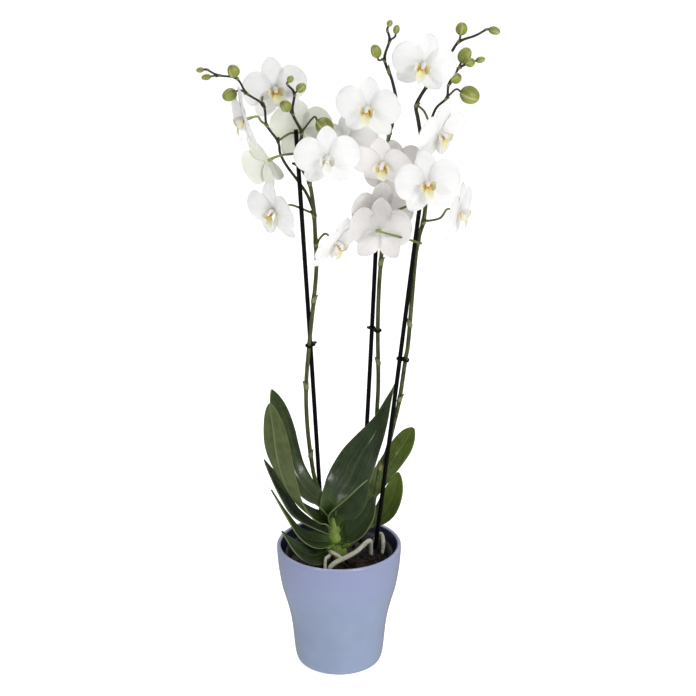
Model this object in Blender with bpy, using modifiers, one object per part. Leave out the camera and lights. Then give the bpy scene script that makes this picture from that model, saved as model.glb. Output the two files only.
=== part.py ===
"""Potted moth orchid: a glazed cover pot with a clear grow pot and bark in it, and a plant with ten
leaves and three flower spikes, each tied to a stake.

Metres, +Z up, -Y to the front. The origin is the middle of the cover pot's flat underside.
"""

import math

import bmesh
import bpy
from mathutils import Matrix, Vector

# ---------------------------------------------------------------- driving dimensions

GAP = 0.0003                # air between pieces that rest on or hold each other
POT_HEIGHT = 0.145
POT_WALL = 0.0047
POT_FLOOR = 0.0060
GROW_POT_HEIGHT = 0.128
GROW_POT_WALL = 0.0012
GROW_POT_RADIUS = 0.0583    # at the top, under its rim
GROW_POT_FOOT = 0.0398
GROW_RIM = 0.0022           # how far the grow pot's rim stands out
BARK_TOP = 0.1240
STAKE_RADIUS = 0.0024
STAKE_FOOT = 0.040          # how low the stakes reach in the bark
STEM_RADIUS = 0.0024
TWIG_RADIUS = 0.0011        # the stalk of a bud
PEDICEL_RADIUS = 0.0013     # the stalk of an open flower
LEAF_THICKNESS = 0.0018
LEAF_BASE = 0.34            # its width at the crown, as a part of the widest
LEAF_TIP = 0.0022           # half width left at the tip
PETAL_THICKNESS = 0.0009
PETAL_LENGTH = 0.0350
PETAL_WIDTH = 0.0385
SEPAL_LENGTH = 0.0350
SEPAL_WIDTH = 0.0225
SEPAL_DROP = 0.0012         # how far the sepals sit behind the petals' level
PETAL_RISE = 0.0010
TOP_SEPAL_CURL = 0.0020     # how far the tips bend back
LOW_SEPAL_CURL = 0.0030
PETAL_CURL = 0.0010
HEART_RADIUS = 0.0040       # the knob that petals, lip and column grow from
COLUMN_TOP = (0.0, 0.0016, 0.0095)
COLUMN_RADII = (0.0023, 0.0021)
PEDICEL_RUN = 0.012         # how far the flower's stalk runs straight behind the flower
HOLE_GAP = 0.0004           # air round what passes through a hole

# The cover pot's outer side, (radius, height) from under the lip down to the rounded foot.
POT_SIDE = [
    (0.0699, 0.1395), (0.0691, 0.1270), (0.0677, 0.1140), (0.0643, 0.0940), (0.0588, 0.0740),
    (0.0554, 0.0590), (0.0532, 0.0450), (0.0510, 0.0220), (0.0494, 0.0095), (0.0470, 0.0030),
    (0.0425, 0.0000),
]

# Each spike's main stem from the crown to its last bud.
LEFT_STEM = [
    (-0.0085, 0.0035, 0.151), (-0.0130, 0.0135, 0.170), (-0.0185, 0.0195, 0.190),
    (-0.0265, 0.0205, 0.212), (-0.0305, 0.0180, 0.236), (-0.035, 0.014, 0.282),
    (-0.036, 0.014, 0.329), (-0.0325, 0.0150, 0.376), (-0.027, 0.016, 0.429),
    (-0.024, 0.018, 0.466), (-0.0250, 0.0195, 0.500), (-0.027, 0.018, 0.535),
    (-0.031, 0.016, 0.561), (-0.0395, 0.0155, 0.580),
    (-0.041, 0.0158, 0.602), (-0.039, 0.0150, 0.617), (-0.048, 0.010, 0.639),
    (-0.046, 0.006, 0.661), (-0.054, 0.004, 0.672),
]
LEFT_BRANCH = [
    (-0.027, 0.019, 0.530), (-0.034, 0.0285, 0.545), (-0.045, 0.034, 0.560),
    (-0.056, 0.033, 0.576), (-0.062, 0.026, 0.591), (-0.064, 0.016, 0.607),
    (-0.075, 0.003, 0.628), (-0.078, -0.004, 0.651), (-0.095, -0.008, 0.665),
    (-0.105, -0.010, 0.681), (-0.124, -0.012, 0.685), (-0.136, -0.014, 0.692),
]
CENTRE_STEM = [
    (0.0015, 0.0035, 0.152), (0.0095, 0.0195, 0.174), (0.0265, 0.0345, 0.204),
    (0.0400, 0.0455, 0.251), (0.0430, 0.0525, 0.290), (0.0440, 0.0500, 0.323),
    (0.0430, 0.0450, 0.382), (0.044, 0.045, 0.430),
    (0.046, 0.046, 0.462), (0.049, 0.046, 0.510), (0.051, 0.042, 0.557), (0.053, 0.032, 0.605),
    (0.059, 0.022, 0.632), (0.062, 0.018, 0.644), (0.056, 0.012, 0.674), (0.048, 0.008, 0.697),
    (0.053, 0.004, 0.718), (0.050, 0.002, 0.730),
]
RIGHT_STEM = [
    (0.0093, -0.0053, 0.1415), (0.0220, 0.0010, 0.150), (0.035, 0.008, 0.164), (0.040, 0.011, 0.196),
    (0.046, 0.020, 0.227), (0.054, 0.0245, 0.248), (0.061, 0.022, 0.280), (0.067, 0.018, 0.311),
    (0.073, 0.010, 0.362), (0.076, 0.009, 0.385), (0.082, 0.010, 0.472), (0.086, 0.009, 0.503),
    (0.091, 0.010, 0.522), (0.093, 0.012, 0.549), (0.091, 0.012, 0.588), (0.084, 0.013, 0.630),
    (0.082, 0.014, 0.647), (0.093, 0.016, 0.667), (0.106, 0.018, 0.685), (0.118, 0.020, 0.702),
    (0.126, 0.020, 0.713), (0.143, 0.022, 0.719), (0.155, 0.022, 0.726),
]
RIGHT_BRANCH = [
    (0.0915, 0.0120, 0.575), (0.094, 0.010, 0.600), (0.096, 0.008, 0.625), (0.102, 0.006, 0.645),
    (0.113, 0.004, 0.657), (0.115, 0.003, 0.672), (0.125, 0.002, 0.689), (0.138, 0.001, 0.696),
]
STEMS = {
    "left": LEFT_STEM, "left_branch": LEFT_BRANCH, "centre": CENTRE_STEM,
    "right": RIGHT_STEM, "right_branch": RIGHT_BRANCH,
}

# Unopened buds: stem, height of the node, bends of the stalk, middle of the bud, length, width.
BUDS = [
    ("left_branch", 0.692, [], (-0.142, -0.014, 0.691), 0.0080, 0.0058),
    ("left_branch", 0.685, [], (-0.136, -0.012, 0.683), 0.0100, 0.0066),
    ("left_branch", 0.681, [], (-0.108, -0.012, 0.689), 0.0140, 0.0130),
    ("left_branch", 0.665, [(-0.102, -0.010, 0.669)], (-0.112, -0.014, 0.665), 0.0160, 0.0136),
    ("left", 0.672, [], (-0.050, 0.003, 0.677), 0.0080, 0.0068),
    ("left", 0.661, [], (-0.039, 0.006, 0.667), 0.0115, 0.0100),
    ("left", 0.639, [], (-0.055, 0.004, 0.648), 0.0136, 0.0122),
    ("left", 0.617, [(-0.026, 0.0120, 0.634)], (-0.015, 0.010, 0.625), 0.0200, 0.0180),
    ("centre", 0.730, [], (0.053, 0.002, 0.736), 0.0070, 0.0060),
    ("centre", 0.718, [(0.0585, 0.0040, 0.7215)], (0.060, 0.004, 0.729), 0.0095, 0.0068),
    ("centre", 0.697, [(0.042, 0.006, 0.6965)], (0.039, 0.004, 0.706), 0.0150, 0.0112),
    ("right", 0.713, [], (0.128, 0.020, 0.726), 0.0136, 0.0124),
    ("right", 0.726, [], (0.162, 0.022, 0.724), 0.0125, 0.0086),
    ("right_branch", 0.687, [], (0.131, 0.006, 0.701), 0.0176, 0.0140),
    ("right_branch", 0.690, [], (0.136, -0.007, 0.697), 0.0110, 0.0096),
    ("right_branch", 0.696, [], (0.147, 0.001, 0.698), 0.0100, 0.0066),
    ("right_branch", 0.672, [], (0.122, -0.002, 0.679), 0.0125, 0.0110),
    ("right_branch", 0.657, [(0.122, 0.000, 0.667)], (0.136, -0.004, 0.662), 0.0212, 0.0190),
]

# Open flowers: stem, height of the node, bends of the stalk, middle of the flower, then where it
# looks: degrees to the right of the front, degrees up, and degrees that its top leans to the right.
FLOWERS = [
    ("left_branch", 0.651, [(-0.080, 0.012, 0.652), (-0.078, 0.029, 0.656)],
     (-0.067, 0.024, 0.662), (10, -6, -10)),
    ("left_branch", 0.628, [(-0.080, -0.012, 0.636)], (-0.095, -0.030, 0.643), (-74, -10, -8)),
    ("left_branch", 0.607, [(-0.052, 0.028, 0.612)], (-0.040, 0.050, 0.611), (172, 4, 6)),
    ("left", 0.588, [(-0.0380, 0.0265, 0.588), (-0.0450, 0.0290, 0.589), (-0.054, 0.022, 0.591)],
     (-0.075, 0.014, 0.586), (-108, -28, 10)),
    ("left", 0.526, [(-0.041, 0.0290, 0.529), (-0.050, 0.014, 0.537)],
     (-0.067, -0.022, 0.542), (-44, -14, 0)),
    ("left", 0.561, [(-0.018, 0.012, 0.576)], (-0.012, -0.011, 0.597), (2, -8, 0)),
    ("left", 0.492, [(-0.016, 0.018, 0.503)], (-0.003, 0.008, 0.497), (50, -30, 0)),
    ("centre", 0.632, [(0.042, 0.006, 0.652)], (0.031, -0.022, 0.653), (-15, -8, 4)),
    ("centre", 0.622, [(0.036, 0.046, 0.618)], (0.009, 0.030, 0.604), (8, -14, 0)),
    ("centre", 0.612, [(0.052, 0.014, 0.610)], (0.047, -0.003, 0.589), (-15, -28, 0)),
    ("right", 0.566, [(0.078, 0.0105, 0.572)], (0.061, 0.0255, 0.572), (-176, -5, 10)),
    ("right", 0.546, [(0.070, -0.003, 0.540)], (0.047, 0.002, 0.532), (-168, -8, 0)),
    ("right", 0.667, [], (0.088, -0.012, 0.697), (-8, -12, 13)),
    ("right", 0.647, [(0.090, 0.004, 0.642)], (0.105, -0.022, 0.626), (44, -16, 0)),
    ("right", 0.588, [(0.088, -0.012, 0.592)], (0.092, -0.048, 0.580), (4, 4, -6)),
    ("right", 0.520, [(0.108, 0.009, 0.524)], (0.127, 0.000, 0.534), (68, -8, 0)),
    ("right", 0.497, [(0.087, -0.006, 0.501), (0.066, -0.020, 0.512)],
     (0.044, -0.018, 0.519), (168, -14, 0)),
]

# Leaves: spine from the crown to the tip, widest width, the way the upper side looks at the base
# and at the tip, how deep the leaf is folded along its midrib, as a part of its half width, and
# where along it the leaf is widest.
LEAVES = [
    ([(-0.0206, 0.0005, 0.1935), (-0.0369, 0.009, 0.2064), (-0.0508, 0.018, 0.2249),
      (-0.0631, 0.026, 0.2665), (-0.0686, 0.026, 0.2943), (-0.0749, 0.023, 0.3214)],
     0.036, (0.4, -0.5, 0.8), (0.7, -0.7, 0.1), 0.30, 0.70),
    ([(-0.0205, -0.0105, 0.178), (-0.0398, -0.018, 0.1961), (-0.0527, -0.026, 0.2181),
      (-0.0611, -0.032, 0.2437), (-0.0703, -0.033, 0.2965), (-0.0748, -0.028, 0.3259)],
     0.033, (0.4, -0.5, 0.8), (0.3, 0.95, 0.1), 0.30, 0.72),
    ([(-0.018, -0.004, 0.160), (-0.0479, -0.007, 0.1836), (-0.0621, -0.009, 0.209),
      (-0.0825, -0.010, 0.2515)], 0.024, (0.2, 0.2, 0.95), (0.75, -0.6, 0.3), 0.35, 0.50),
    ([(-0.014, -0.016, 0.154), (-0.029, -0.026, 0.160), (-0.045, -0.032, 0.173),
      (-0.059, -0.035, 0.197), (-0.074, -0.034, 0.226)],
     0.024, (0.1, 0.15, 0.95), (0.75, 0.4, 0.45), 0.30, 0.42),
    ([(-0.0165, -0.0165, 0.141), (-0.029, -0.033, 0.145), (-0.045, -0.0415, 0.1575),
      (-0.063, -0.043, 0.180)], 0.026, (0.1, -0.5, 0.9), (0.4, -0.7, 0.6), 0.30, 0.50),
    ([(-0.0045, 0.006, 0.198), (0.0114, 0.022, 0.2132), (0.0213, 0.031, 0.2326),
      (0.0398, 0.041, 0.2625), (0.0553, 0.046, 0.2993), (0.0625, 0.046, 0.3185)],
     0.046, (-0.3, -0.7, 0.7), (0.0, -1.0, 0.1), 0.20, 0.42),
    ([(-0.0065, -0.0150, 0.1880), (0.0012, -0.0170, 0.2010), (0.0167, -0.021, 0.2182),
      (0.0330, -0.021, 0.2325)], 0.034, (0.0, -0.9, 0.3), (0.3, -0.9, 0.0), 0.55, 0.52),
    ([(0.0055, -0.0150, 0.1590), (0.0110, -0.0165, 0.1635), (0.0223, -0.0180, 0.1748),
      (0.0334, -0.0180, 0.1915), (0.0385, -0.0150, 0.2104)],
     0.024, (-0.2, -0.6, 0.8), (-0.5, -0.8, 0.2), 0.30, 0.55),
    ([(0.0045, 0.0005, 0.168), (0.033, 0.027, 0.190), (0.055, 0.050, 0.214), (0.072, 0.057, 0.239),
      (0.084, 0.054, 0.262)], 0.028, (-0.3, -0.6, 0.8), (-0.5, -0.8, 0.3), 0.25, 0.74),
    ([(0.0075, -0.0010, 0.155), (0.034, 0.0295, 0.157), (0.052, 0.0295, 0.170), (0.062, 0.0245, 0.195),
      (0.067, 0.021, 0.222)], 0.026, (-0.2, -0.4, 0.9), (-0.3, -0.95, 0.2), 0.30, 0.66),
]

# Air roots: route and radius.
ROOTS = [
    ([(-0.011, -0.040, 0.1330), (-0.002, -0.038, 0.1390), (0.010, -0.034, 0.1445), (0.020, -0.028, 0.1480),
      (0.031, -0.016, 0.1530), (0.035, -0.008, 0.1500), (0.036, -0.002, 0.1380)], 0.0027),
    ([(-0.0075, -0.0178, 0.1410), (-0.0100, -0.0250, 0.1460), (-0.0070, -0.0310, 0.1475),
      (0.0000, -0.0335, 0.1465)], 0.0020),
    ([(0.0440, 0.0310, 0.1380), (0.0480, 0.0250, 0.1430), (0.0500, 0.0160, 0.1380),
      (0.0490, 0.0110, 0.1280)], 0.0023),
    ([(-0.0120, -0.0320, 0.1430), (-0.0150, -0.0380, 0.1420), (-0.0155, -0.0440, 0.1280)], 0.0019),
]

CROWN = [(0.003, -0.008, 0.108), (0.001, -0.008, 0.130), (-0.004, -0.006, 0.155), (-0.010, -0.004, 0.190)]
CROWN_RADII = [0.0080, 0.0088, 0.0080, 0.0052]

# Stakes: a point near the bark and the top; and the clips: stake, stem and height.
STAKES = {
    "left": ((-0.018, 0.027, 0.128), (-0.032, 0.0225, 0.391), (-0.045, 0.022, 0.618)),
    "centre": ((0.024, 0.037, 0.128), (0.0340, 0.0525, 0.322), (0.044, 0.053, 0.560)),
    "right": ((0.041, 0.020, 0.128), (0.060, 0.0155, 0.299), (0.087, -0.002, 0.549)),
}
CLIPS = [
    ("clip_left_low", "left", "left", 0.376), ("clip_left_high", "left", "left", 0.580),
    ("clip_centre", "centre", "centre", 0.383), ("clip_right", "right", "right", 0.362),
]
CLIP_HEIGHT = 0.0055
CLIP_WALL = 0.0022

# ---------------------------------------------------------------- scene and materials

for old in list(bpy.data.objects):
    bpy.data.objects.remove(old, do_unlink=True)

parts = bpy.data.collections.new("potted_orchid")
cutters = bpy.data.collections.new("cutters")
for collection in (parts, cutters):
    bpy.context.scene.collection.children.link(collection)


def material(name, colour, roughness, metallic=0.0):
    made = bpy.data.materials.new(name)
    made.use_nodes = True
    shader = made.node_tree.nodes["Principled BSDF"]
    shader.inputs["Base Color"].default_value = (*colour, 1.0)
    shader.inputs["Roughness"].default_value = roughness
    shader.inputs["Metallic"].default_value = metallic
    made.diffuse_color = (*colour, 1.0)
    return made


def add_part(piece, name, colour, roughness):
    """Names a piece, gives it its own material and hangs it on the plant's empty."""
    piece.name = name
    piece.data.materials.clear()
    piece.data.materials.append(material(name, colour, roughness))
    for collection in list(piece.users_collection):
        collection.objects.unlink(piece)
    parts.objects.link(piece)
    piece.parent = plant
    return piece


def make_cutter(piece):
    """A helper that only takes part in a Boolean."""
    for collection in list(piece.users_collection):
        collection.objects.unlink(piece)
    cutters.objects.link(piece)
    piece.hide_render = True
    piece.display_type = "WIRE"
    return piece


plant = bpy.data.objects.new("plant", None)
parts.objects.link(plant)

# ---------------------------------------------------------------- routes


def smooth(points, steps):
    """A smooth curve through the points, with so many steps between two of them."""
    knots = [Vector(p) for p in points]
    knots = [2 * knots[0] - knots[1]] + knots + [2 * knots[-1] - knots[-2]]
    route = []
    for a, b, c, d in zip(knots, knots[1:], knots[2:], knots[3:]):
        for step in range(steps):
            t = step / steps
            bend = (2 * a - 5 * b + 4 * c - d) * t * t + (3 * b - a - 3 * c + d) * t ** 3
            route.append(b + 0.5 * ((c - a) * t + bend))
    return route + [knots[-2]]


def at_height(route, height):
    """The point of a rising route at a height."""
    for a, b in zip(route, route[1:]):
        if a.z <= height <= b.z:
            return a.lerp(b, (height - a.z) / max(b.z - a.z, 1e-9))
    return min(route, key=lambda point: abs(point.z - height))


def stem_direction(name, height):
    """The way a stem runs at a height."""
    route = stem_route(name)
    return (at_height(route, height + 0.003) - at_height(route, height - 0.003)).normalized()


def at_fraction(route, t):
    """The point at a fraction of a route, counted along its points."""
    place = min(max(t, 0.0), 1.0) * (len(route) - 1)
    index = min(int(place), len(route) - 2)
    return route[index].lerp(route[index + 1], place - index)


def stem_route(name):
    """A stem's centre line."""
    return [Vector(point) for point in STEMS[name]]


def stem_radius(name, route, index):
    """Stems are thickest at the crown and thin out towards the last bud."""
    t = index / (len(route) - 1)
    if name.endswith("branch"):
        return 0.0017 - 0.0007 * t
    return STEM_RADIUS - 0.0002 * t - 0.0011 * max(0.0, t - 0.62) / 0.38


# ---------------------------------------------------------------- shapes


def tube(points, radii, resolution=2):
    """A round stalk along the points, made a mesh with its end caps welded on."""
    curve = bpy.data.curves.new("stalk", "CURVE")
    curve.dimensions = "3D"
    curve.bevel_depth = 1.0
    curve.bevel_resolution = resolution
    curve.use_fill_caps = True
    spline = curve.splines.new("POLY")
    spline.points.add(len(points) - 1)
    for knot, point, radius in zip(spline.points, points, radii):
        knot.co = (*point, 1.0)
        knot.radius = radius
    source = bpy.data.objects.new("stalk", curve)
    bpy.context.scene.collection.objects.link(source)
    graph = bpy.context.evaluated_depsgraph_get()
    mesh = bpy.data.meshes.new_from_object(source.evaluated_get(graph))
    work = bmesh.new()
    work.from_mesh(mesh)
    bmesh.ops.remove_doubles(work, verts=work.verts, dist=0.000002)
    work.to_mesh(mesh)
    work.free()
    piece = bpy.data.objects.new("stalk", mesh)
    piece.matrix_world = source.matrix_world
    bpy.context.scene.collection.objects.link(piece)
    bpy.data.objects.remove(source, do_unlink=True)
    for face in mesh.polygons:
        face.use_smooth = True
    mesh.set_sharp_from_angle(angle=math.radians(50))
    return piece


def turned(profile, steps):
    """A solid or a vessel turned round the Z axis from (radius, height), down its outer side."""
    mesh = bpy.data.meshes.new("turned")
    mesh.from_pydata([(r, 0.0, z) for r, z in profile], [(i, i + 1) for i in range(len(profile) - 1)], [])
    piece = bpy.data.objects.new("turned", mesh)
    screw = piece.modifiers.new("turn", "SCREW")
    screw.steps = steps
    screw.render_steps = steps
    screw.use_merge_vertices = True
    screw.merge_threshold = 0.00005
    screw.use_smooth_shade = True
    return piece


def blade(spine, face, half_width, channel, thickness, across, along):
    """A leaf or a petal: a sheet bent along its spine, shaped across by channel, with a thickness.

    spine and face give the place and the way the upper side looks at a fraction of the length,
    half_width its half width there, and channel the height of the sheet at (side, fraction).
    """
    bpy.ops.mesh.primitive_grid_add(x_subdivisions=across, y_subdivisions=along, size=2.0)
    piece = bpy.context.object
    step = 0.01
    for vertex in piece.data.vertices:
        side, t = vertex.co.x, (vertex.co.y + 1) / 2
        ahead = (spine(min(t + step, 1.0)) - spine(max(t - step, 0.0))).normalized()
        right = ahead.cross(face(t)).normalized()
        up = right.cross(ahead)
        vertex.co = spine(t) + right * side * half_width(t) + up * channel(side, t)
    for polygon in piece.data.polygons:
        polygon.use_smooth = True
    solid = piece.modifiers.new("thickness", "SOLIDIFY")
    solid.thickness = thickness
    solid.offset = 0.0
    return piece


def boolean(piece, operation, others):
    """Joins helpers to a piece, or cuts it with them, all in one Boolean."""
    group = bpy.data.collections.new(f"{piece.name}_{operation.lower()}")
    cutters.children.link(group)
    for other in others:
        make_cutter(other)
        cutters.objects.unlink(other)
        group.objects.link(other)
    change = piece.modifiers.new(operation.lower(), "BOOLEAN")
    change.operation = operation
    change.operand_type = "COLLECTION"
    change.collection = group
    change.solver = "EXACT"


# ---------------------------------------------------------------- pots and bark


def pot_inside(side, wall):
    """The inner side of a turned wall, its points moved in at right angles to the outer side."""
    inner = []
    for (r0, z0), (r1, z1), (r2, z2) in zip(side, side[1:], side[2:]):
        run = Vector((r2 - r0, z2 - z0)).normalized()
        inner.append((r1 + run.y * wall, z1 - run.x * wall))
    return inner


def make_ceramic_pot():
    lip = []
    lip_radius = POT_WALL / 2
    lip_middle = Vector((POT_SIDE[0][0] - lip_radius, POT_HEIGHT - lip_radius))
    for step in range(5):
        angle = math.radians(180 - 45 * step)
        lip.append((lip_middle.x + lip_radius * math.cos(angle), lip_middle.y + lip_radius * math.sin(angle)))
    inner_side = [point for point in pot_inside(POT_SIDE, POT_WALL) if point[1] > POT_FLOOR + 0.004]
    inner_foot = inner_side[-1][0] - 0.004
    inside = [(0.0, POT_FLOOR), (inner_foot, POT_FLOOR)] + inner_side[::-1]
    profile = inside + lip + POT_SIDE + [(0.0, 0.0)]
    pot = turned(profile, 30)
    add_part(pot, "ceramic_pot", (0.30, 0.35, 0.62), 0.18)


def make_grow_pot():
    floor = POT_FLOOR + GAP
    top = floor + GROW_POT_HEIGHT
    rim = top - 0.003
    outer = [
        (GROW_POT_RADIUS + GROW_RIM, top), (GROW_POT_RADIUS + GROW_RIM, rim), (GROW_POT_RADIUS, rim),
        (GROW_POT_FOOT, floor), (0.0, floor),
    ]
    inner_foot = GROW_POT_FOOT - GROW_POT_WALL
    inner = [
        (0.0, floor + GROW_POT_WALL), (inner_foot, floor + GROW_POT_WALL),
        (GROW_POT_RADIUS - GROW_POT_WALL, rim), (GROW_POT_RADIUS - GROW_POT_WALL, top),
    ]
    add_part(turned(inner + outer, 32), "grow_pot", (0.80, 0.82, 0.80), 0.15)


def grow_pot_inner_radius(height):
    """The grow pot's inner radius at a height."""
    floor = POT_FLOOR + GAP
    t = (height - floor) / (GROW_POT_HEIGHT - 0.003)
    return GROW_POT_FOOT + (GROW_POT_RADIUS - GROW_POT_FOOT) * t - GROW_POT_WALL


def make_bark(holes):
    bottom = POT_FLOOR + GAP + GROW_POT_WALL + GAP
    profile = [
        (0.0, BARK_TOP + 0.002), (0.022, BARK_TOP + 0.0015), (0.042, BARK_TOP - 0.0005),
        (grow_pot_inner_radius(BARK_TOP - 0.003) - HOLE_GAP, BARK_TOP - 0.003),
        (grow_pot_inner_radius(bottom) - HOLE_GAP, bottom), (0.0, bottom),
    ]
    bark = add_part(turned(profile, 32), "bark_mix", (0.10, 0.045, 0.025), 0.85)
    boolean(bark, "DIFFERENCE", holes)


# ---------------------------------------------------------------- stakes and clips


def stake_route(name):
    foot, middle, top = (Vector(point) for point in STAKES[name])
    slope = (middle - foot) / (middle.z - foot.z)
    return [foot - slope * (foot.z - STAKE_FOOT)] + smooth((foot, middle, top), 3)


def make_stake(name):
    route = stake_route(name)
    add_part(tube(route, [STAKE_RADIUS] * len(route)), f"stake_{name}", (0.006, 0.006, 0.007), 0.35)


def make_clip(name, stake, stem, height):
    """A flat band round a stake and a stem, with a hole for each."""
    on_stake = at_height(stake_route(stake), height)
    on_stem = at_height(stem_route(stem), height)
    reach = (on_stem - on_stake).length
    bpy.ops.mesh.primitive_cube_add(size=1.0, location=(0, 0, 0))
    clip = bpy.context.object
    width = 2 * (STEM_RADIUS + CLIP_WALL)
    for vertex in clip.data.vertices:
        vertex.co = (vertex.co.x * (reach + width), vertex.co.y * width, vertex.co.z * CLIP_HEIGHT)
    direction = on_stem - on_stake
    clip.location = (on_stake + on_stem) / 2
    clip.rotation_euler = (0.0, 0.0, math.atan2(direction.y, direction.x))
    rounding = clip.modifiers.new("round", "BEVEL")
    rounding.width = 0.0012
    rounding.segments = 1
    add_part(clip, name, (0.006, 0.006, 0.007), 0.4)
    holes = []
    for route, radius in ((stake_route(stake), STAKE_RADIUS), (stem_route(stem), STEM_RADIUS)):
        near = [at_height(route, height + shift) for shift in (-0.02, -0.008, 0.0, 0.008, 0.02)]
        holes.append(tube(near, [radius + HOLE_GAP] * len(near)))
    boolean(clip, "DIFFERENCE", holes)


# ---------------------------------------------------------------- plant


def make_leaf(name, route, width, base_face, tip_face, fold, widest):
    points = smooth(route, 4)
    start, end = Vector(base_face).normalized(), Vector(tip_face).normalized()

    def half_width(t):
        if t < widest:
            near = t / widest
            return width / 2 * (LEAF_BASE + (1 - LEAF_BASE) * near * near * (3 - 2 * near))
        far = (t - widest) / (1 - widest)
        return max(LEAF_TIP, width / 2 * math.sqrt(1 - far ** 2.2))

    def channel(side, t):
        return fold * half_width(t) * (abs(side) ** 1.5 - 0.4) * (1 - 0.4 * t)

    leaf = blade(
        lambda t: at_fraction(points, t), lambda t: start.lerp(end, t), half_width, channel,
        LEAF_THICKNESS, 4, 7,
    )
    add_part(leaf, name, (0.045, 0.085, 0.030), 0.35)


def bud_and_stalk(stem, height, bends, middle, length, width):
    """One tube: the stalk from its node, swelling to the bud and closing at its tip."""
    node = at_height(stem_route(stem), height)
    middle = Vector(middle)
    stalk = [node] + [Vector(bend) for bend in bends]
    axis = (middle - stalk[-1]).normalized()
    base = middle - axis * length / 2
    stalk = stalk + [base]
    radii = [TWIG_RADIUS] * len(stalk)
    for t, swell in ((0.14, 0.70), (0.42, 1.0), (0.72, 0.88), (0.94, 0.38)):
        stalk.append(base + axis * length * t)
        radii.append(width / 2 * swell)
    return tube(stalk, radii, 1)


def make_spike(name, stems):
    """A main stem with its side branch and its unopened buds, grown as one piece."""
    tubes = []
    for stem in stems:
        route = stem_route(stem)
        tubes.append(tube(route, [stem_radius(stem, route, index) for index in range(len(route))], 1))
    spike = add_part(tubes[0], name, (0.12, 0.16, 0.05), 0.45)
    buds = [bud_and_stalk(*bud) for bud in BUDS if bud[0] in stems]
    boolean(spike, "UNION", tubes[1:] + buds)


def make_root(name, route, radius):
    points = smooth(route, 3)
    taper = [radius * (1.0 - 0.25 * abs(2 * i / (len(points) - 1) - 1) ** 3) for i in range(len(points))]
    add_part(tube(points, taper), name, (0.52, 0.52, 0.42), 0.7)


def petal(angle, length, width, lift, curl, across, along):
    """One petal or sepal in the flower's own frame: x right, y up, z out of the face."""
    lean = math.radians(angle)
    way = Vector((math.cos(lean), math.sin(lean), 0.0))
    out = Vector((0.0, 0.0, 1.0))
    root = 0.0015

    def spine(t):
        return way * (root + (length - root) * t) + out * (lift * min(1.0, 4 * t) - curl * t * t)

    def half_width(t):
        swell = t ** 1.16
        return max(0.0022, width / 2 * (4 * swell * (1 - swell)) ** 0.6) + 0.16 * width * t ** 6

    return blade(
        spine, lambda t: out, half_width, lambda side, t: -0.0012 * side * side * math.sin(math.pi * t),
        PETAL_THICKNESS, across, along,
    )


def lip_lobe(points, face, width, thickness):
    """A lobe of the lip along a short route."""
    route = smooth(points, 3)
    return blade(
        lambda t: at_fraction(route, t), lambda t: Vector(face),
        lambda t: width / 2 * (0.45 + 0.55 * math.sin(math.pi * min(1.0, 0.15 + t))),
        lambda side, t: 0.0, thickness, 1, 2,
    )


def make_flower_head():
    """Five petals, the lip and the column joined in one mesh, which every open flower shares."""
    bpy.ops.mesh.primitive_uv_sphere_add(segments=6, ring_count=4, radius=HEART_RADIUS)
    heart = bpy.context.object
    pieces = [
        petal(90, SEPAL_LENGTH, SEPAL_WIDTH, -SEPAL_DROP, TOP_SEPAL_CURL, 2, 3),
        petal(-52, SEPAL_LENGTH, SEPAL_WIDTH, -SEPAL_DROP, LOW_SEPAL_CURL, 2, 3),
        petal(-128, SEPAL_LENGTH, SEPAL_WIDTH, -SEPAL_DROP, LOW_SEPAL_CURL, 2, 3),
        petal(12, PETAL_LENGTH, PETAL_WIDTH, PETAL_RISE, PETAL_CURL, 2, 4),
        petal(168, PETAL_LENGTH, PETAL_WIDTH, PETAL_RISE, PETAL_CURL, 2, 4),
        lip_lobe([(0, -0.0015, 0.002), (0, -0.004, 0.008), (0, -0.010, 0.012), (0, -0.0165, 0.010)],
                 (0, 0.7, 0.7), 0.0085, 0.0012),
        lip_lobe([(0.0012, -0.002, 0.0025), (0.0050, -0.002, 0.006), (0.0068, 0.002, 0.011)],
                 (-1, 0.2, 0.3), 0.0075, 0.0011),
        lip_lobe([(-0.0012, -0.002, 0.0025), (-0.0050, -0.002, 0.006), (-0.0068, 0.002, 0.011)],
                 (1, 0.2, 0.3), 0.0075, 0.0011),
        tube([Vector((0, 0, 0)), Vector(COLUMN_TOP)], COLUMN_RADII, 1),
    ]
    boolean(heart, "UNION", pieces)
    graph = bpy.context.evaluated_depsgraph_get()
    head = bpy.data.meshes.new_from_object(heart.evaluated_get(graph))
    bpy.data.objects.remove(heart, do_unlink=True)
    return head


def facing(right_of_front, up, lean):
    """The turn that points a flower's face: degrees to the right, up, and leaning to the right."""
    turn, rise, roll = (math.radians(angle) for angle in (right_of_front, up, lean))
    out = Vector((math.sin(turn) * math.cos(rise), -math.cos(turn) * math.cos(rise), math.sin(rise)))
    right = Vector((0, 0, 1)).cross(out).normalized()
    frame = Matrix((right, out.cross(right), out)).transposed()
    return frame @ Matrix.Rotation(-roll, 3, "Z")


def make_flower(name, head, stem, height, bends, middle, look):
    flower = bpy.data.objects.new(name, head.copy())
    frame = facing(*look)
    middle = Vector(middle)
    flower.location = middle
    flower.rotation_euler = frame.to_euler()
    add_part(flower, name, (0.90, 0.90, 0.88), 0.5)
    out = frame.col[2]
    node = at_height(stem_route(stem), height)
    route = [node] + [Vector(bend) for bend in bends] + [middle - out * PEDICEL_RUN, middle - out * 0.001]
    grown = stem_direction(stem, height)
    away = route[1] - node
    away = (away - grown * away.dot(grown)).normalized()
    route[0] = node + away * (STEM_RADIUS + PEDICEL_RADIUS + 0.0005)
    boolean(flower, "UNION", [tube(route, [PEDICEL_RADIUS] * len(route), 1)])


# ---------------------------------------------------------------- the whole

make_ceramic_pot()
make_grow_pot()

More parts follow.
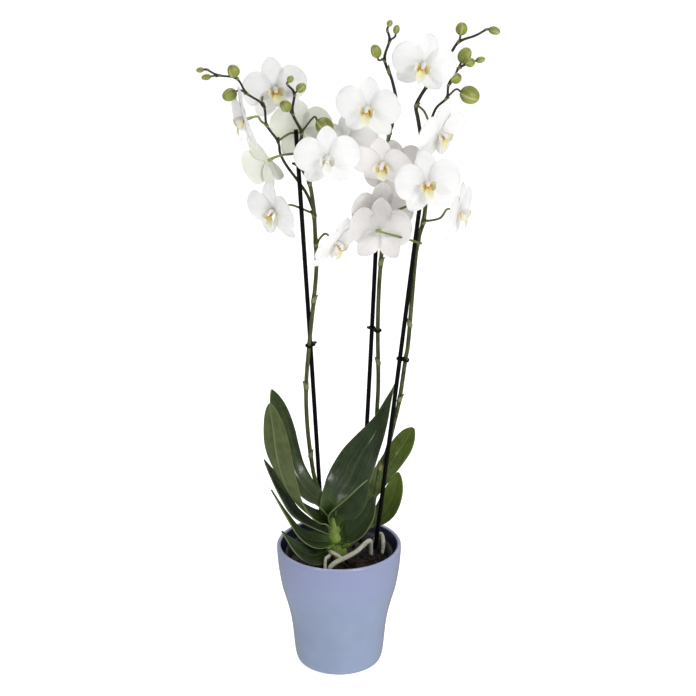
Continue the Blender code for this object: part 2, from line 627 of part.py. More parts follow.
crown_route = smooth(CROWN, 3)
crown_radii = [point.x for point in smooth([(radius, 0, 0) for radius in CROWN_RADII], 3)]
add_part(tube(crown_route, crown_radii), "crown", (0.16, 0.30, 0.05), 0.4)

crown_hole = [crown_route[0] - Vector((0, 0, GAP + 0.0002))] + crown_route[1:]
bark_holes = [tube(crown_hole, [radius + HOLE_GAP for radius in crown_radii])]
for stake_name in STAKES:
    make_stake(stake_name)
    hole = stake_route(stake_name)[:2]
    hole[0] = hole[0] + (hole[0] - hole[1]).normalized() * 0.001
    hole[1] = hole[1] + (hole[1] - hole[0]).normalized() * 0.004
    bark_holes.append(tube(hole, [STAKE_RADIUS + HOLE_GAP] * 2))
make_bark(bark_holes)

for clip in CLIPS:
    make_clip(*clip)
for number, leaf in enumerate(LEAVES, 1):
    make_leaf(f"leaf_{number:02d}", *leaf)
for number, root in enumerate(ROOTS, 1):
    make_root(f"root_{number:02d}", *root)

make_spike("spike_left", ["left", "left_branch"])
make_spike("spike_centre", ["centre"])
make_spike("spike_right", ["right", "right_branch"])

flower_head = make_flower_head()
for number, flower in enumerate(FLOWERS, 1):
    make_flower(f"flower_{number:02d}", flower_head, *flower)
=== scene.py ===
import math
import random

import bpy
from mathutils import Matrix, Vector


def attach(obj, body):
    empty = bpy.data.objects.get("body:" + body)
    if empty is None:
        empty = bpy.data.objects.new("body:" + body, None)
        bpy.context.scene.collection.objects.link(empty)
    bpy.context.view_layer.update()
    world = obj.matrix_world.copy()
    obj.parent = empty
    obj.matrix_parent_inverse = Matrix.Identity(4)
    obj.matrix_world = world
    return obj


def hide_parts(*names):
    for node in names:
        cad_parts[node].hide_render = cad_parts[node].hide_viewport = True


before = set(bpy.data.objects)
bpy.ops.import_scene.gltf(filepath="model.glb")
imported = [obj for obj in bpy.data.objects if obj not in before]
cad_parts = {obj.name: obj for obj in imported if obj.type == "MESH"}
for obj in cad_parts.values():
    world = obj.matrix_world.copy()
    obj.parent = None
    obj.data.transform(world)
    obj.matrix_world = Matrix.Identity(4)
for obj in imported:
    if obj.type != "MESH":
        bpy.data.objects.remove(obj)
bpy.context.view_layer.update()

# A moth orchid in a glazed cover pot. Metres, +Z up, -Y to the front, the pot's foot on z = 0.

# ---------------------------------------------------------------- the plant's measures

POT_HEIGHT = 0.145
POT_WALL = 0.0047
POT_FLOOR = 0.0060
GROW_POT_TOP = 0.1343
GROW_POT_RADIUS = 0.0583
GROW_POT_FOOT = 0.0398
GROW_POT_WALL = 0.0012
BARK_TOP = 0.1240
STAKE_RADIUS = 0.0024
STAKE_FOOT = 0.110          # hidden in the bark
STEM_RADIUS = 0.0024
LEAF_THICKNESS = 0.0016
PETAL_THICKNESS = 0.00045
PETAL_LENGTH = 0.0350
PETAL_WIDTH = 0.0385
SEPAL_LENGTH = 0.0350
SEPAL_WIDTH = 0.0225
LIP_THICKNESS = 0.0005
SCALE_THICKNESS = 0.00035
BUD_SCALE = 0.0042          # the length of the scale under a bud, a flower and at a bare node
FLOWER_SCALE = 0.0055
BARE_SCALE = 0.0095
BARK_CHIPS = 230
BARK_SPREAD = 0.0485        # how far from the middle of the pot a chip's middle may lie
CLIP_WALL = 0.0008
GRIP_LENGTH = 0.0075

# The cover pot's outside, from just under the lip down to the foot: radius and height.
POT_SIDE = [
    (0.0699, 0.1395), (0.0691, 0.1270), (0.0677, 0.1140), (0.0643, 0.0940), (0.0588, 0.0740),
    (0.0554, 0.0590), (0.0532, 0.0450), (0.0510, 0.0220), (0.0494, 0.0095), (0.0470, 0.0030),
    (0.0425, 0.0000),
]

# The stems' middle lines, from the crown or from the main stem upwards.
LEFT_STEM = [
    (-0.0065, -0.001, 0.146), (-0.0085, 0.0035, 0.151), (-0.0130, 0.0135, 0.170),
    (-0.0185, 0.0195, 0.190), (-0.0265, 0.0205, 0.212), (-0.0305, 0.0180, 0.236),
    (-0.035, 0.014, 0.282), (-0.036, 0.014, 0.329), (-0.0325, 0.0150, 0.376),
    (-0.027, 0.016, 0.429), (-0.024, 0.018, 0.466), (-0.0250, 0.0195, 0.500),
    (-0.027, 0.018, 0.535), (-0.031, 0.016, 0.561), (-0.0395, 0.0155, 0.580),
    (-0.041, 0.0158, 0.602), (-0.039, 0.0150, 0.617), (-0.048, 0.010, 0.639),
    (-0.046, 0.006, 0.661), (-0.054, 0.004, 0.672),
]
LEFT_BRANCH = [
    (-0.027, 0.019, 0.530), (-0.034, 0.0285, 0.545), (-0.045, 0.034, 0.560),
    (-0.056, 0.033, 0.576), (-0.062, 0.026, 0.591), (-0.064, 0.016, 0.607),
    (-0.075, 0.003, 0.628), (-0.078, -0.004, 0.651), (-0.095, -0.008, 0.665),
    (-0.105, -0.010, 0.681), (-0.124, -0.012, 0.685), (-0.136, -0.014, 0.692),
]
CENTRE_STEM = [
    (0.000, -0.001, 0.146), (0.0015, 0.0035, 0.152), (0.0095, 0.0195, 0.174),
    (0.0265, 0.0345, 0.204), (0.0400, 0.0455, 0.251), (0.0430, 0.0525, 0.290),
    (0.0440, 0.0500, 0.323), (0.0430, 0.0450, 0.382), (0.044, 0.045, 0.430),
    (0.046, 0.046, 0.462), (0.049, 0.046, 0.510), (0.051, 0.042, 0.557), (0.053, 0.032, 0.605),
    (0.059, 0.022, 0.632), (0.062, 0.018, 0.644), (0.056, 0.012, 0.674), (0.048, 0.008, 0.697),
    (0.053, 0.004, 0.718), (0.050, 0.002, 0.730),
]
RIGHT_STEM = [
    (0.004, -0.0065, 0.137), (0.0093, -0.0053, 0.1415), (0.0220, 0.0010, 0.150),
    (0.035, 0.008, 0.164), (0.040, 0.011, 0.196), (0.046, 0.020, 0.227), (0.054, 0.0245, 0.248),
    (0.061, 0.022, 0.280), (0.067, 0.018, 0.311), (0.073, 0.010, 0.362), (0.076, 0.009, 0.385),
    (0.082, 0.010, 0.472), (0.086, 0.009, 0.503), (0.091, 0.010, 0.522), (0.093, 0.012, 0.549),
    (0.091, 0.012, 0.588), (0.084, 0.013, 0.630), (0.082, 0.014, 0.647), (0.093, 0.016, 0.667),
    (0.106, 0.018, 0.685), (0.118, 0.020, 0.702), (0.126, 0.020, 0.713), (0.143, 0.022, 0.719),
    (0.155, 0.022, 0.726),
]
RIGHT_BRANCH = [
    (0.0915, 0.0120, 0.575), (0.094, 0.010, 0.600), (0.096, 0.008, 0.625), (0.102, 0.006, 0.645),
    (0.113, 0.004, 0.657), (0.115, 0.003, 0.672), (0.125, 0.002, 0.689), (0.138, 0.001, 0.696),
]
STEMS = {
    "left": LEFT_STEM, "left_branch": LEFT_BRANCH, "centre": CENTRE_STEM,
    "right": RIGHT_STEM, "right_branch": RIGHT_BRANCH,
}
SPIKES = {
    "spike_left": ["left", "left_branch"], "spike_centre": ["centre"],
    "spike_right": ["right", "right_branch"],
}
# The nodes that carry neither a bud nor a flower: stem, height, and the way the scale looks.
BARE_NODES = [
    ("left", 0.246, (1, -0.6, 0)), ("left", 0.329, (-1, -0.8, 0)), ("left", 0.429, (1, -0.8, 0)),
    ("centre", 0.262, (1, -0.6, 0)), ("centre", 0.345, (-1, -0.8, 0)), ("centre", 0.462, (1, -0.8, 0)),
    ("right", 0.228, (-1, -0.8, 0)), ("right", 0.313, (1, -0.5, 0)), ("right", 0.404, (-1, -0.8, 0)),
    ("centre", 0.684, (1, -0.4, 0)),
]

# Unopened buds: stem, height of the node, bends of the stalk, middle of the bud, length, width.
BUDS = [
    ("left_branch", 0.692, [], (-0.142, -0.014, 0.691), 0.0080, 0.0058),
    ("left_branch", 0.685, [], (-0.136, -0.012, 0.683), 0.0100, 0.0066),
    ("left_branch", 0.681, [], (-0.108, -0.012, 0.689), 0.0140, 0.0130),
    ("left_branch", 0.665, [(-0.102, -0.010, 0.669)], (-0.112, -0.014, 0.665), 0.0160, 0.0136),
    ("left", 0.672, [], (-0.050, 0.003, 0.677), 0.0080, 0.0068),
    ("left", 0.661, [], (-0.039, 0.006, 0.667), 0.0115, 0.0100),
    ("left", 0.639, [], (-0.055, 0.004, 0.648), 0.0136, 0.0122),
    ("left", 0.617, [(-0.026, 0.0120, 0.634)], (-0.015, 0.010, 0.625), 0.0200, 0.0180),
    ("centre", 0.730, [], (0.053, 0.002, 0.736), 0.0070, 0.0060),
    ("centre", 0.718, [(0.0585, 0.0040, 0.7215)], (0.060, 0.004, 0.729), 0.0095, 0.0068),
    ("centre", 0.697, [(0.042, 0.006, 0.6965)], (0.039, 0.004, 0.706), 0.0150, 0.0112),
    ("right", 0.713, [], (0.128, 0.020, 0.726), 0.0136, 0.0124),
    ("right", 0.726, [], (0.162, 0.022, 0.724), 0.0125, 0.0086),
    ("right_branch", 0.687, [], (0.131, 0.006, 0.701), 0.0176, 0.0140),
    ("right_branch", 0.690, [], (0.136, -0.007, 0.697), 0.0110, 0.0096),
    ("right_branch", 0.696, [], (0.147, 0.001, 0.698), 0.0100, 0.0066),
    ("right_branch", 0.672, [], (0.122, -0.002, 0.679), 0.0125, 0.0110),
    ("right_branch", 0.657, [(0.122, 0.000, 0.667)], (0.136, -0.004, 0.662), 0.0212, 0.0190),
]

# Open flowers: stem, height of the node, bends of the stalk, middle of the flower, where it looks
# (degrees to the right of the front, degrees up, degrees its top leans to the right), how far its
# petals are folded forward, in degrees, and the finish of its petals.
FLOWERS = [
    ("left_branch", 0.651, [(-0.080, 0.012, 0.652), (-0.078, 0.029, 0.656)],
     (-0.067, 0.024, 0.662), (10, -6, -10), 0, "white"),
    ("left_branch", 0.628, [(-0.080, -0.012, 0.636)],
     (-0.095, -0.030, 0.643), (-74, -10, -8), 8, "white"),
    ("left_branch", 0.607, [(-0.052, 0.028, 0.612)],
     (-0.040, 0.050, 0.611), (172, 4, 6), 4, "fresh"),
    ("left", 0.588, [(-0.0380, 0.0265, 0.588), (-0.0450, 0.0290, 0.589), (-0.054, 0.022, 0.591)],
     (-0.075, 0.014, 0.586), (-108, -28, 10), 24, "fresh"),
    ("left", 0.526, [(-0.041, 0.0290, 0.529), (-0.050, 0.014, 0.537)],
     (-0.067, -0.022, 0.542), (-44, -14, 0), 10, "white"),
    ("left", 0.561, [(-0.018, 0.012, 0.576)], (-0.012, -0.011, 0.597), (2, -8, 0), 0, "white"),
    ("left", 0.492, [(-0.016, 0.018, 0.503)], (-0.003, 0.008, 0.497), (50, -30, 0), 6, "white"),
    ("centre", 0.632, [(0.042, 0.006, 0.652)], (0.031, -0.022, 0.653), (-15, -8, 4), 4, "white"),
    ("centre", 0.622, [(0.036, 0.046, 0.618)], (0.009, 0.030, 0.604), (8, -14, 0), 6, "white"),
    ("centre", 0.612, [(0.052, 0.014, 0.610)], (0.047, -0.003, 0.589), (-15, -28, 0), 8, "blush"),
    ("right", 0.566, [(0.078, 0.0105, 0.572)], (0.061, 0.0255, 0.572), (-176, -5, 10), 0, "blush"),
    ("right", 0.546, [(0.070, -0.003, 0.540)], (0.047, 0.002, 0.532), (-168, -8, 0), 0, "blush"),
    ("right", 0.667, [], (0.088, -0.012, 0.697), (-8, -12, 13), 0, "white"),
    ("right", 0.647, [(0.090, 0.004, 0.642)], (0.105, -0.022, 0.626), (44, -16, 0), 5, "white"),
    ("right", 0.588, [(0.088, -0.012, 0.592)], (0.092, -0.048, 0.580), (4, 4, -6), 3, "white"),
    ("right", 0.520, [(0.108, 0.009, 0.524)], (0.127, 0.000, 0.534), (68, -8, 0), 4, "white"),
    ("right", 0.497, [(0.087, -0.006, 0.501), (0.066, -0.020, 0.512)],
     (0.044, -0.018, 0.519), (168, -14, 0), 6, "blush"),
]

# Flower 06's lip is painted pale, with hardly any yellow: a painted highlight where bright light washes it
# out.
HIGHLIGHTED_FLOWER = 6             # the one whose lip has hardly any yellow

# Leaves: spine from the crown's middle to the tip, widest width, the way the upper side looks at
# the base and at the tip, how deep it is folded along its midrib, where along it the leaf is
# widest, how drawn out its tip is, how wide its base is, and its finish.
LEAVES = [
    ([(-0.0095, -0.003, 0.180), (-0.0185, -0.001, 0.1925), (-0.0246, 0.003, 0.1975),
      (-0.0369, 0.009, 0.2064), (-0.0508, 0.018, 0.2249), (-0.058, 0.024, 0.2442),
      (-0.0631, 0.026, 0.2665), (-0.0686, 0.026, 0.2943), (-0.0749, 0.023, 0.3214)],
     0.036, (0.4, -0.5, 0.8), (0.7, -0.7, 0.1), 0.30, 0.72, 0.75, 0.46, "middle"),
    ([(-0.0085, -0.005, 0.168), (-0.0165, -0.007, 0.1765), (-0.0245, -0.010, 0.1806),
      (-0.0398, -0.018, 0.1961), (-0.0527, -0.026, 0.2181), (-0.0611, -0.032, 0.2437),
      (-0.0667, -0.034, 0.2685), (-0.0703, -0.033, 0.2965), (-0.0748, -0.028, 0.3259)],
     0.033, (0.4, -0.5, 0.8), (0.3, 0.95, 0.1), 0.30, 0.74, 0.62, 0.62, "dark"),
    ([(-0.004, -0.006, 0.153), (-0.018, -0.005, 0.161), (-0.0479, -0.007, 0.1836),
      (-0.0621, -0.009, 0.209), (-0.0729, -0.010, 0.2314), (-0.0825, -0.010, 0.2515)],
     0.026, (0.2, 0.2, 0.95), (0.75, -0.6, 0.3), 0.35, 0.50, 1.1, 0.32, "dark"),
    ([(-0.003, -0.008, 0.148), (-0.014, -0.016, 0.154), (-0.029, -0.026, 0.160),
      (-0.045, -0.032, 0.173), (-0.059, -0.035, 0.197), (-0.074, -0.034, 0.226)],
     0.027, (0.1, -0.25, 0.95), (0.8, -0.2, 0.5), 0.30, 0.40, 1.3, 0.36, "dark"),
    ([(-0.004, -0.009, 0.138), (-0.0165, -0.0165, 0.141), (-0.029, -0.033, 0.145),
      (-0.045, -0.0415, 0.1575), (-0.063, -0.043, 0.180)],
     0.026, (0.1, -0.5, 0.9), (0.4, -0.7, 0.6), 0.30, 0.50, 1.1, 0.36, "dark"),
    ([(-0.0095, -0.003, 0.181), (-0.0095, -0.001, 0.192), (-0.0045, 0.006, 0.198),
      (0.0020, 0.0135, 0.2028), (0.0114, 0.022, 0.2132), (0.0213, 0.031, 0.2326),
      (0.0303, 0.037, 0.2471), (0.0398, 0.041, 0.2625), (0.0478, 0.044, 0.2783),
      (0.0553, 0.046, 0.2993), (0.0625, 0.046, 0.3185)],
     0.048, (-0.3, -0.7, 0.7), (0.0, -1.0, 0.1), 0.26, 0.42, 1.25, 0.36, "dark"),
    ([(-0.007, -0.007, 0.172), (-0.0040, -0.0125, 0.1850), (0.0048, -0.0170, 0.1975),
      (0.0195, -0.021, 0.2148), (0.0330, -0.021, 0.2325)],
     0.036, (0.25, -0.85, 0.0), (0.6, -0.75, -0.35), 1.0, 0.55, 0.8, 0.26, "dark"),
    ([(-0.003, -0.009, 0.149), (0.004, -0.0135, 0.1575), (0.0110, -0.0160, 0.1635),
      (0.0223, -0.0180, 0.1748), (0.0334, -0.0180, 0.1915), (0.0385, -0.0150, 0.2104)],
     0.027, (-0.2, -0.6, 0.8), (-0.5, -0.8, 0.2), 0.30, 0.55, 0.9, 0.34, "dark"),
    ([(-0.005, -0.006, 0.160), (0.0045, 0.0005, 0.168), (0.033, 0.027, 0.190),
      (0.055, 0.050, 0.214), (0.072, 0.057, 0.239), (0.084, 0.054, 0.262)],
     0.028, (-0.3, -0.6, 0.8), (-0.5, -0.8, 0.3), 0.25, 0.74, 0.6, 0.34, "young"),
    ([(-0.002, -0.007, 0.148), (0.0075, -0.0010, 0.155), (0.034, 0.0295, 0.157),
      (0.052, 0.0295, 0.170), (0.062, 0.0245, 0.195), (0.067, 0.021, 0.222)],
     0.026, (-0.2, -0.4, 0.9), (-0.3, -0.95, 0.2), 0.30, 0.66, 0.62, 0.34, "young"),
]

# Air roots: route and radius.
ROOTS = [
    ([(-0.011, -0.040, 0.1290), (-0.009, -0.040, 0.1350), (-0.002, -0.038, 0.1400),
      (0.010, -0.034, 0.1445), (0.020, -0.028, 0.1480), (0.031, -0.016, 0.1530),
      (0.035, -0.008, 0.1500), (0.036, -0.002, 0.1380), (0.036, 0.001, 0.1240)], 0.0027),
    ([(-0.0020, -0.0100, 0.1380), (-0.0075, -0.0178, 0.1410), (-0.0100, -0.0250, 0.1460),
      (-0.0070, -0.0310, 0.1475), (0.0000, -0.0345, 0.1450), (0.0030, -0.0360, 0.1420)], 0.0020),
    ([(0.0380, 0.0340, 0.1280), (0.0440, 0.0310, 0.1380), (0.0480, 0.0250, 0.1430),
      (0.0500, 0.0160, 0.1380), (0.0490, 0.0110, 0.1250)], 0.0023),
    ([(-0.0080, -0.0260, 0.1450), (-0.0120, -0.0320, 0.1430), (-0.0150, -0.0380, 0.1420),
      (-0.0155, -0.0440, 0.1260)], 0.0019),
]

# The short stem that everything grows from, from the bark upwards, with its radii, and the cut
# stubs on it: points, radius and radius at the cut end.
CROWN = [(0.003, -0.008, 0.112), (0.001, -0.008, 0.130), (-0.004, -0.006, 0.155), (-0.008, -0.004, 0.180)]
CROWN_RADII = [0.0076, 0.0084, 0.0074, 0.0040]
STUBS = [
    ([(0.004, -0.012, 0.146), (0.009, -0.018, 0.151), (0.012, -0.021, 0.157)], 0.0026, 0.0021),
    ([(-0.006, -0.012, 0.147), (-0.010, -0.018, 0.149), (-0.014, -0.022, 0.149)], 0.0028, 0.0022),
]

# Stakes: a point near the bark, one on the way up and the top.
STAKES = {
    "left": ((-0.018, 0.027, 0.128), (-0.032, 0.0225, 0.391), (-0.045, 0.022, 0.618)),
    "centre": ((0.024, 0.037, 0.128), (0.0340, 0.0525, 0.322), (0.044, 0.053, 0.560)),
    "right": ((0.041, 0.020, 0.128), (0.060, 0.0155, 0.299), (0.087, -0.002, 0.549)),
}
# Clips: name, stake, stem and height.
CLIPS = [
    ("clip_left_low", "left", "left", 0.376), ("clip_left_high", "left", "left", 0.580),
    ("clip_centre", "centre", "centre", 0.383), ("clip_right", "right", "right", 0.362),
]

# Lamps: name, place, the point it looks at, width of its square and power in watts.
LAMPS = [
    ("key", (1.5, -2.0, 1.9), (0.0, 0.0, 0.36), 0.8, 33.0),
    ("strip", (-1.5, -1.9, 1.1), (0.0, 0.0, 0.36), 0.35, 4.0),
    ("top", (-0.2, 1.1, 2.3), (0.0, 0.0, 0.30), 1.5, 22.0),
]
SKY_STRENGTH = 0.27
FLOOR_GLOW = 0.74           # keeps the pale floor even and white
FLOOR_SIZE = 14.0
CAMERA_PLACE = (0.0101, -2.2, 1.2202)
CAMERA_DOWN = 20.92         # degrees below the horizon
CAMERA_LENS = 112.1         # millimetres, for a picture 36 mm wide

# ---------------------------------------------------------------- finishes


class Number:
    """A value in a finish's nodes, so that its maths reads as ordinary Python."""

    def __init__(self, finish, socket):
        self.finish = finish
        self.socket = socket

    def maths(self, operation, *values):
        return self.finish.node("ShaderNodeMath", {"operation": operation}, dict(enumerate(values)))

    def __add__(self, other):
        return self.maths("ADD", self, other)

    __radd__ = __add__

    def __sub__(self, other):
        return self.maths("SUBTRACT", self, other)

    def __rsub__(self, other):
        return self.maths("SUBTRACT", other, self)

    def __mul__(self, other):
        return self.maths("MULTIPLY", self, other)

    __rmul__ = __mul__

    def size(self):
        return self.maths("ABSOLUTE", self)

    def cosine(self):
        return self.maths("COSINE", self)

    def between(self, low, high):
        """0 below low and 1 above high, with a soft step from one to the other."""
        settings = {"interpolation_type": "SMOOTHSTEP"}
        return self.finish.node("ShaderNodeMapRange", settings, {"Value": self, 1: low, 2: high})


class Finish:
    """A material: constants go straight to the shader's sockets, and set() links what varies."""

    def __init__(self, name, **constants):
        self.material = bpy.data.materials.new(name)
        self.material.use_nodes = True
        self.tree = self.material.node_tree
        self.shader = self.tree.nodes["Principled BSDF"]
        for socket, value in constants.items():
            self.shader.inputs[socket.replace("_", " ")].default_value = value

    def node(self, kind, settings=None, sockets=None, output=0):
        made = self.tree.nodes.new(kind)
        for key, value in (settings or {}).items():
            if key == "stops":
                self.stops(made.color_ramp, value)
            else:
                setattr(made, key, value)
        for key, value in (sockets or {}).items():
            self.feed(made.inputs[key], value)
        return Number(self, made.outputs[output])

    def feed(self, socket, value):
        if isinstance(value, Number):
            self.tree.links.new(value.socket, socket)
        elif isinstance(value, tuple) and socket.type == "RGBA":
            socket.default_value = (*value, 1.0)
        else:
            socket.default_value = value

    @staticmethod
    def stops(ramp, stops):
        while len(ramp.elements) > 1:
            ramp.elements.remove(ramp.elements[-1])
        for index, (place, colour) in enumerate(stops):
            element = ramp.elements[0] if index == 0 else ramp.elements.new(place)
            element.position = place
            element.color = (*colour, 1.0)

    def set(self, **values):
        for socket, value in values.items():
            self.feed(self.shader.inputs[socket.replace("_", " ")], value)

    def mix(self, share, first, second):
        return self.node("ShaderNodeMix", {"data_type": "RGBA"}, {0: share, 6: first, 7: second}, 2)

    def ramp(self, value, stops):
        return self.node("ShaderNodeValToRGB", {"stops": stops}, {0: value})

    def place(self):
        """The place on the object, in metres."""
        return self.node("ShaderNodeTexCoord", output="Object")

    def height(self):
        return self.node("ShaderNodeSeparateXYZ", None, {0: self.place()}, "Z")

    def sheet(self):
        """The place on a blade or a rolled stalk: 0 to 1 across it and 0 to 1 along it."""
        return self.node("ShaderNodeTexCoord", output="UV")

    def across(self):
        return self.node("ShaderNodeSeparateXYZ", None, {0: self.sheet()}, "X")

    def along(self):
        return self.node("ShaderNodeSeparateXYZ", None, {0: self.sheet()}, "Y")

    def stretched(self, vector, scale):
        return self.node("ShaderNodeMapping", None, {"Vector": vector, "Scale": scale})

    def noise(self, vector, scale, detail, roughness=0.5, distortion=0.0):
        sockets = {"Vector": vector, "Scale": scale, "Detail": detail, "Roughness": roughness,
                   "Distortion": distortion}
        return self.node("ShaderNodeTexNoise", None, sockets)

    def bump(self, height, distance, strength):
        sockets = {"Height": height, "Distance": distance, "Strength": strength}
        return self.node("ShaderNodeBump", None, sockets)


def glaze_finish(name, light, lilac, worn):
    """A clouded glaze, more lilac near the top and worn thin and pale along the lip."""
    glaze = Finish(name, Coat_Weight=1.0, Coat_Roughness=0.05, Coat_IOR=1.5)
    place = glaze.place()
    height = glaze.height()
    cloud = glaze.noise(place, 14.0, 3.0, 0.6)
    blue = glaze.mix(cloud.between(0.3, 0.7), tuple(channel * 0.87 for channel in light), light)
    violet = glaze.mix(height.between(0.07, 0.135), blue, lilac)
    thin = glaze.mix(height.between(0.1425, 0.1450) * 0.65, violet, worn)
    glaze.set(Base_Color=thin)
    glaze.set(Roughness=0.26 + 0.10 * cloud)
    rings = glaze.noise(glaze.stretched(place, (3.0, 3.0, 160.0)), 1.0, 2.0, 0.5)
    glaze.set(Normal=glaze.bump(rings * 0.5 + glaze.noise(place, 60.0, 2.0), 0.0002, 0.3))
    return glaze.material


def clear_plastic_finish():
    """Clear plastic, more see-through where it isn't scuffed. Its dark grey is painted shade for the dark
    inside of the pot, and its paler, less see-through patches are partly scuffs and partly painted glints.
    """
    clear = Finish("clear_plastic", IOR=1.49)
    scuffs = clear.noise(clear.place(), 220.0, 4.0, 0.6)
    # Dark grey painted shade, paler in the patches that are partly scuffs and partly painted glints.
    clear.set(Base_Color=clear.mix(scuffs, (0.10, 0.11, 0.12), (0.34, 0.36, 0.37)))
    clear.set(Alpha=0.22 + 0.34 * scuffs.between(0.5, 0.8))
    clear.set(Roughness=0.06 + 0.22 * scuffs.between(0.45, 0.75))
    return clear.material


def bark_finish(name, lift):
    """Dark red-brown bark with a coarse grain; lift makes all of it lighter."""
    bark = Finish(name, Specular_IOR_Level=0.5)
    place = bark.place()
    tone = bark.noise(place, 95.0, 2.0, 0.5)
    grain = bark.noise(bark.stretched(place, (260.0, 700.0, 900.0)), 1.0, 4.0, 0.65)
    flakes = bark.noise(place, 420.0, 5.0, 0.7)
    stops = [(0.30, (0.006 * lift, 0.004 * lift, 0.003 * lift)),
             (0.52, (0.024 * lift, 0.010 * lift, 0.006 * lift)),
             (0.72, (0.110 * lift, 0.040 * lift, 0.020 * lift))]
    bark.set(Base_Color=bark.mix(grain.between(0.55, 0.72) * 0.45, bark.ramp(tone, stops),
                                 (0.115 * lift, 0.066 * lift, 0.042 * lift)))
    bark.set(Roughness=0.38 + 0.40 * flakes)
    bark.set(Normal=bark.bump(flakes + grain * 0.8, 0.0009, 0.8))
    return bark.material


def leaf_finish(name, deep, lit, base, gloss):
    """The waxy upper side: fine streaks along the leaf, a paler midrib and base and a pale margin."""
    leaf = Finish(name, Coat_Weight=0.45, Coat_Roughness=0.14, Specular_IOR_Level=0.50)
    both = leaf.sheet()
    along = leaf.along()
    side = (leaf.across() * 2.0 - 1.0).size()
    streaks = leaf.noise(leaf.stretched(both, (34.0, 1.1, 1.0)), 1.0, 4.0, 0.65)
    fine = leaf.noise(leaf.stretched(both, (120.0, 2.6, 1.0)), 1.0, 2.0, 0.6)
    blotch = leaf.noise(leaf.place(), 70.0, 3.0, 0.6)
    green = leaf.mix((streaks * 0.5 + blotch * 0.3 + fine * 0.2).between(0.38, 0.62), deep, lit)
    midrib = 1.0 - side.between(0.015, 0.075)
    green = leaf.mix(midrib * 0.5, green, tuple(channel * 1.7 for channel in lit))
    green = leaf.mix((1.0 - along.between(0.02, 0.26)) * 0.8, green, base)
    green = leaf.mix(side.between(0.95, 1.0) * 0.5, green, (0.16, 0.22, 0.07))
    leaf.set(Base_Color=green)
    leaf.set(Roughness=gloss - 0.06 + 0.26 * streaks + 0.10 * blotch)
    relief = streaks * 0.8 + fine * 0.45 + blotch * 0.8
    leaf.set(Normal=leaf.bump(relief, 0.0013, 0.8))
    return leaf.material


def leaf_under_finish():
    """The duller under side, with a broad pale midrib."""
    under = Finish("leaf_underside", Coat_Weight=0.25, Coat_Roughness=0.25, Specular_IOR_Level=0.45)
    both = under.sheet()
    along = under.along()
    side = (under.across() * 2.0 - 1.0).size()
    streaks = under.noise(under.stretched(both, (60.0, 1.8, 1.0)), 1.0, 4.0, 0.6)
    blotch = under.noise(under.place(), 90.0, 3.0, 0.6)
    shade = (streaks * 0.5 + blotch * 0.5).between(0.36, 0.64)
    green = under.mix(shade, (0.060, 0.082, 0.018), (0.104, 0.134, 0.034))
    green = under.mix((1.0 - side.between(0.02, 0.10)) * 0.55, green, (0.21, 0.26, 0.10))
    green = under.mix((1.0 - along.between(0.02, 0.22)) * 0.7, green, (0.26, 0.36, 0.08))
    under.set(Base_Color=green)
    under.set(Roughness=0.40 + 0.14 * streaks)
    under.set(Normal=under.bump(streaks + blotch * 0.6, 0.0006, 0.5))
    return under.material


def leaf_edge_finish():
    """The thin pale rim of a leaf."""
    edge = Finish("leaf_edge", Coat_Weight=0.2, Coat_Roughness=0.3)
    tone = edge.noise(edge.place(), 160.0, 3.0, 0.6)
    edge.set(Base_Color=edge.mix(tone, (0.10, 0.14, 0.045), (0.21, 0.26, 0.10)))
    edge.set(Roughness=0.35 + 0.15 * tone)
    return edge.material


def petal_finish(name, tissue, shade, throat, glow):
    """Thin white tissue: veins that fan out from the throat and light that passes through."""
    petal = Finish(name, Specular_IOR_Level=0.35, Subsurface_Weight=0.30, Subsurface_Scale=0.003)
    petal.shader.inputs["Subsurface Radius"].default_value = glow
    both = petal.sheet()
    along = petal.along()
    veins = petal.noise(petal.stretched(both, (30.0, 1.8, 1.0)), 1.0, 3.0, 0.6, 0.3)
    cells = petal.noise(petal.place(), 1500.0, 2.0, 0.6)
    cloud = petal.noise(petal.place(), 55.0, 2.0, 0.5)
    vein = veins.between(0.52, 0.66)
    white = petal.mix(vein * 0.42 * (1.0 - along * 0.6), tissue, shade)
    white = petal.mix(cloud.between(0.42, 0.72) * 0.25, white, shade)
    white = petal.mix((1.0 - along.between(0.04, 0.24)) * 0.75, white, throat)
    petal.set(Base_Color=white)
    petal.set(Roughness=0.44 + 0.14 * cells)
    petal.set(Normal=petal.bump(veins + cloud * 0.6 + cells * 0.10, 0.0006, 0.7))
    return petal.material


def lip_finish(name, bars_share, stops):
    """Yellow at the throat with red-brown bars and spots, and white towards the tips."""
    lip = Finish(name, Specular_IOR_Level=0.4, Subsurface_Weight=0.3, Subsurface_Scale=0.002)
    lip.shader.inputs["Subsurface Radius"].default_value = (1.0, 0.8, 0.5)
    both = lip.sheet()
    along = lip.along()
    bars = lip.noise(lip.stretched(both, (18.0, 2.2, 1.0)), 1.0, 2.0, 0.5)
    spots = lip.noise(lip.place(), 950.0, 2.0, 0.5)
    ground = lip.ramp(along + (bars - 0.5) * 0.15, stops)
    near = 1.0 - along.between(0.22, 0.50)
    marks = (bars * 0.5 + spots * 0.5).between(0.50, 0.58) * near
    lip.set(Base_Color=lip.mix(marks * bars_share, ground, (0.45, 0.10, 0.07)))
    lip.set(Roughness=0.34 + 0.15 * spots)
    lip.set(Normal=lip.bump(bars + spots * 0.3, 0.0003, 0.6))
    return lip.material


def column_finish():
    """White, flushed with lilac."""
    column = Finish("column", Specular_IOR_Level=0.4, Subsurface_Weight=0.35, Subsurface_Scale=0.003)
    tone = column.noise(column.place(), 420.0, 3.0, 0.6)
    column.set(Base_Color=column.mix(tone.between(0.4, 0.65), (0.90, 0.88, 0.86), (0.84, 0.74, 0.76)))
    column.set(Roughness=0.35 + 0.15 * tone)
    column.set(Normal=column.bump(tone, 0.0002, 0.5))
    return column.material


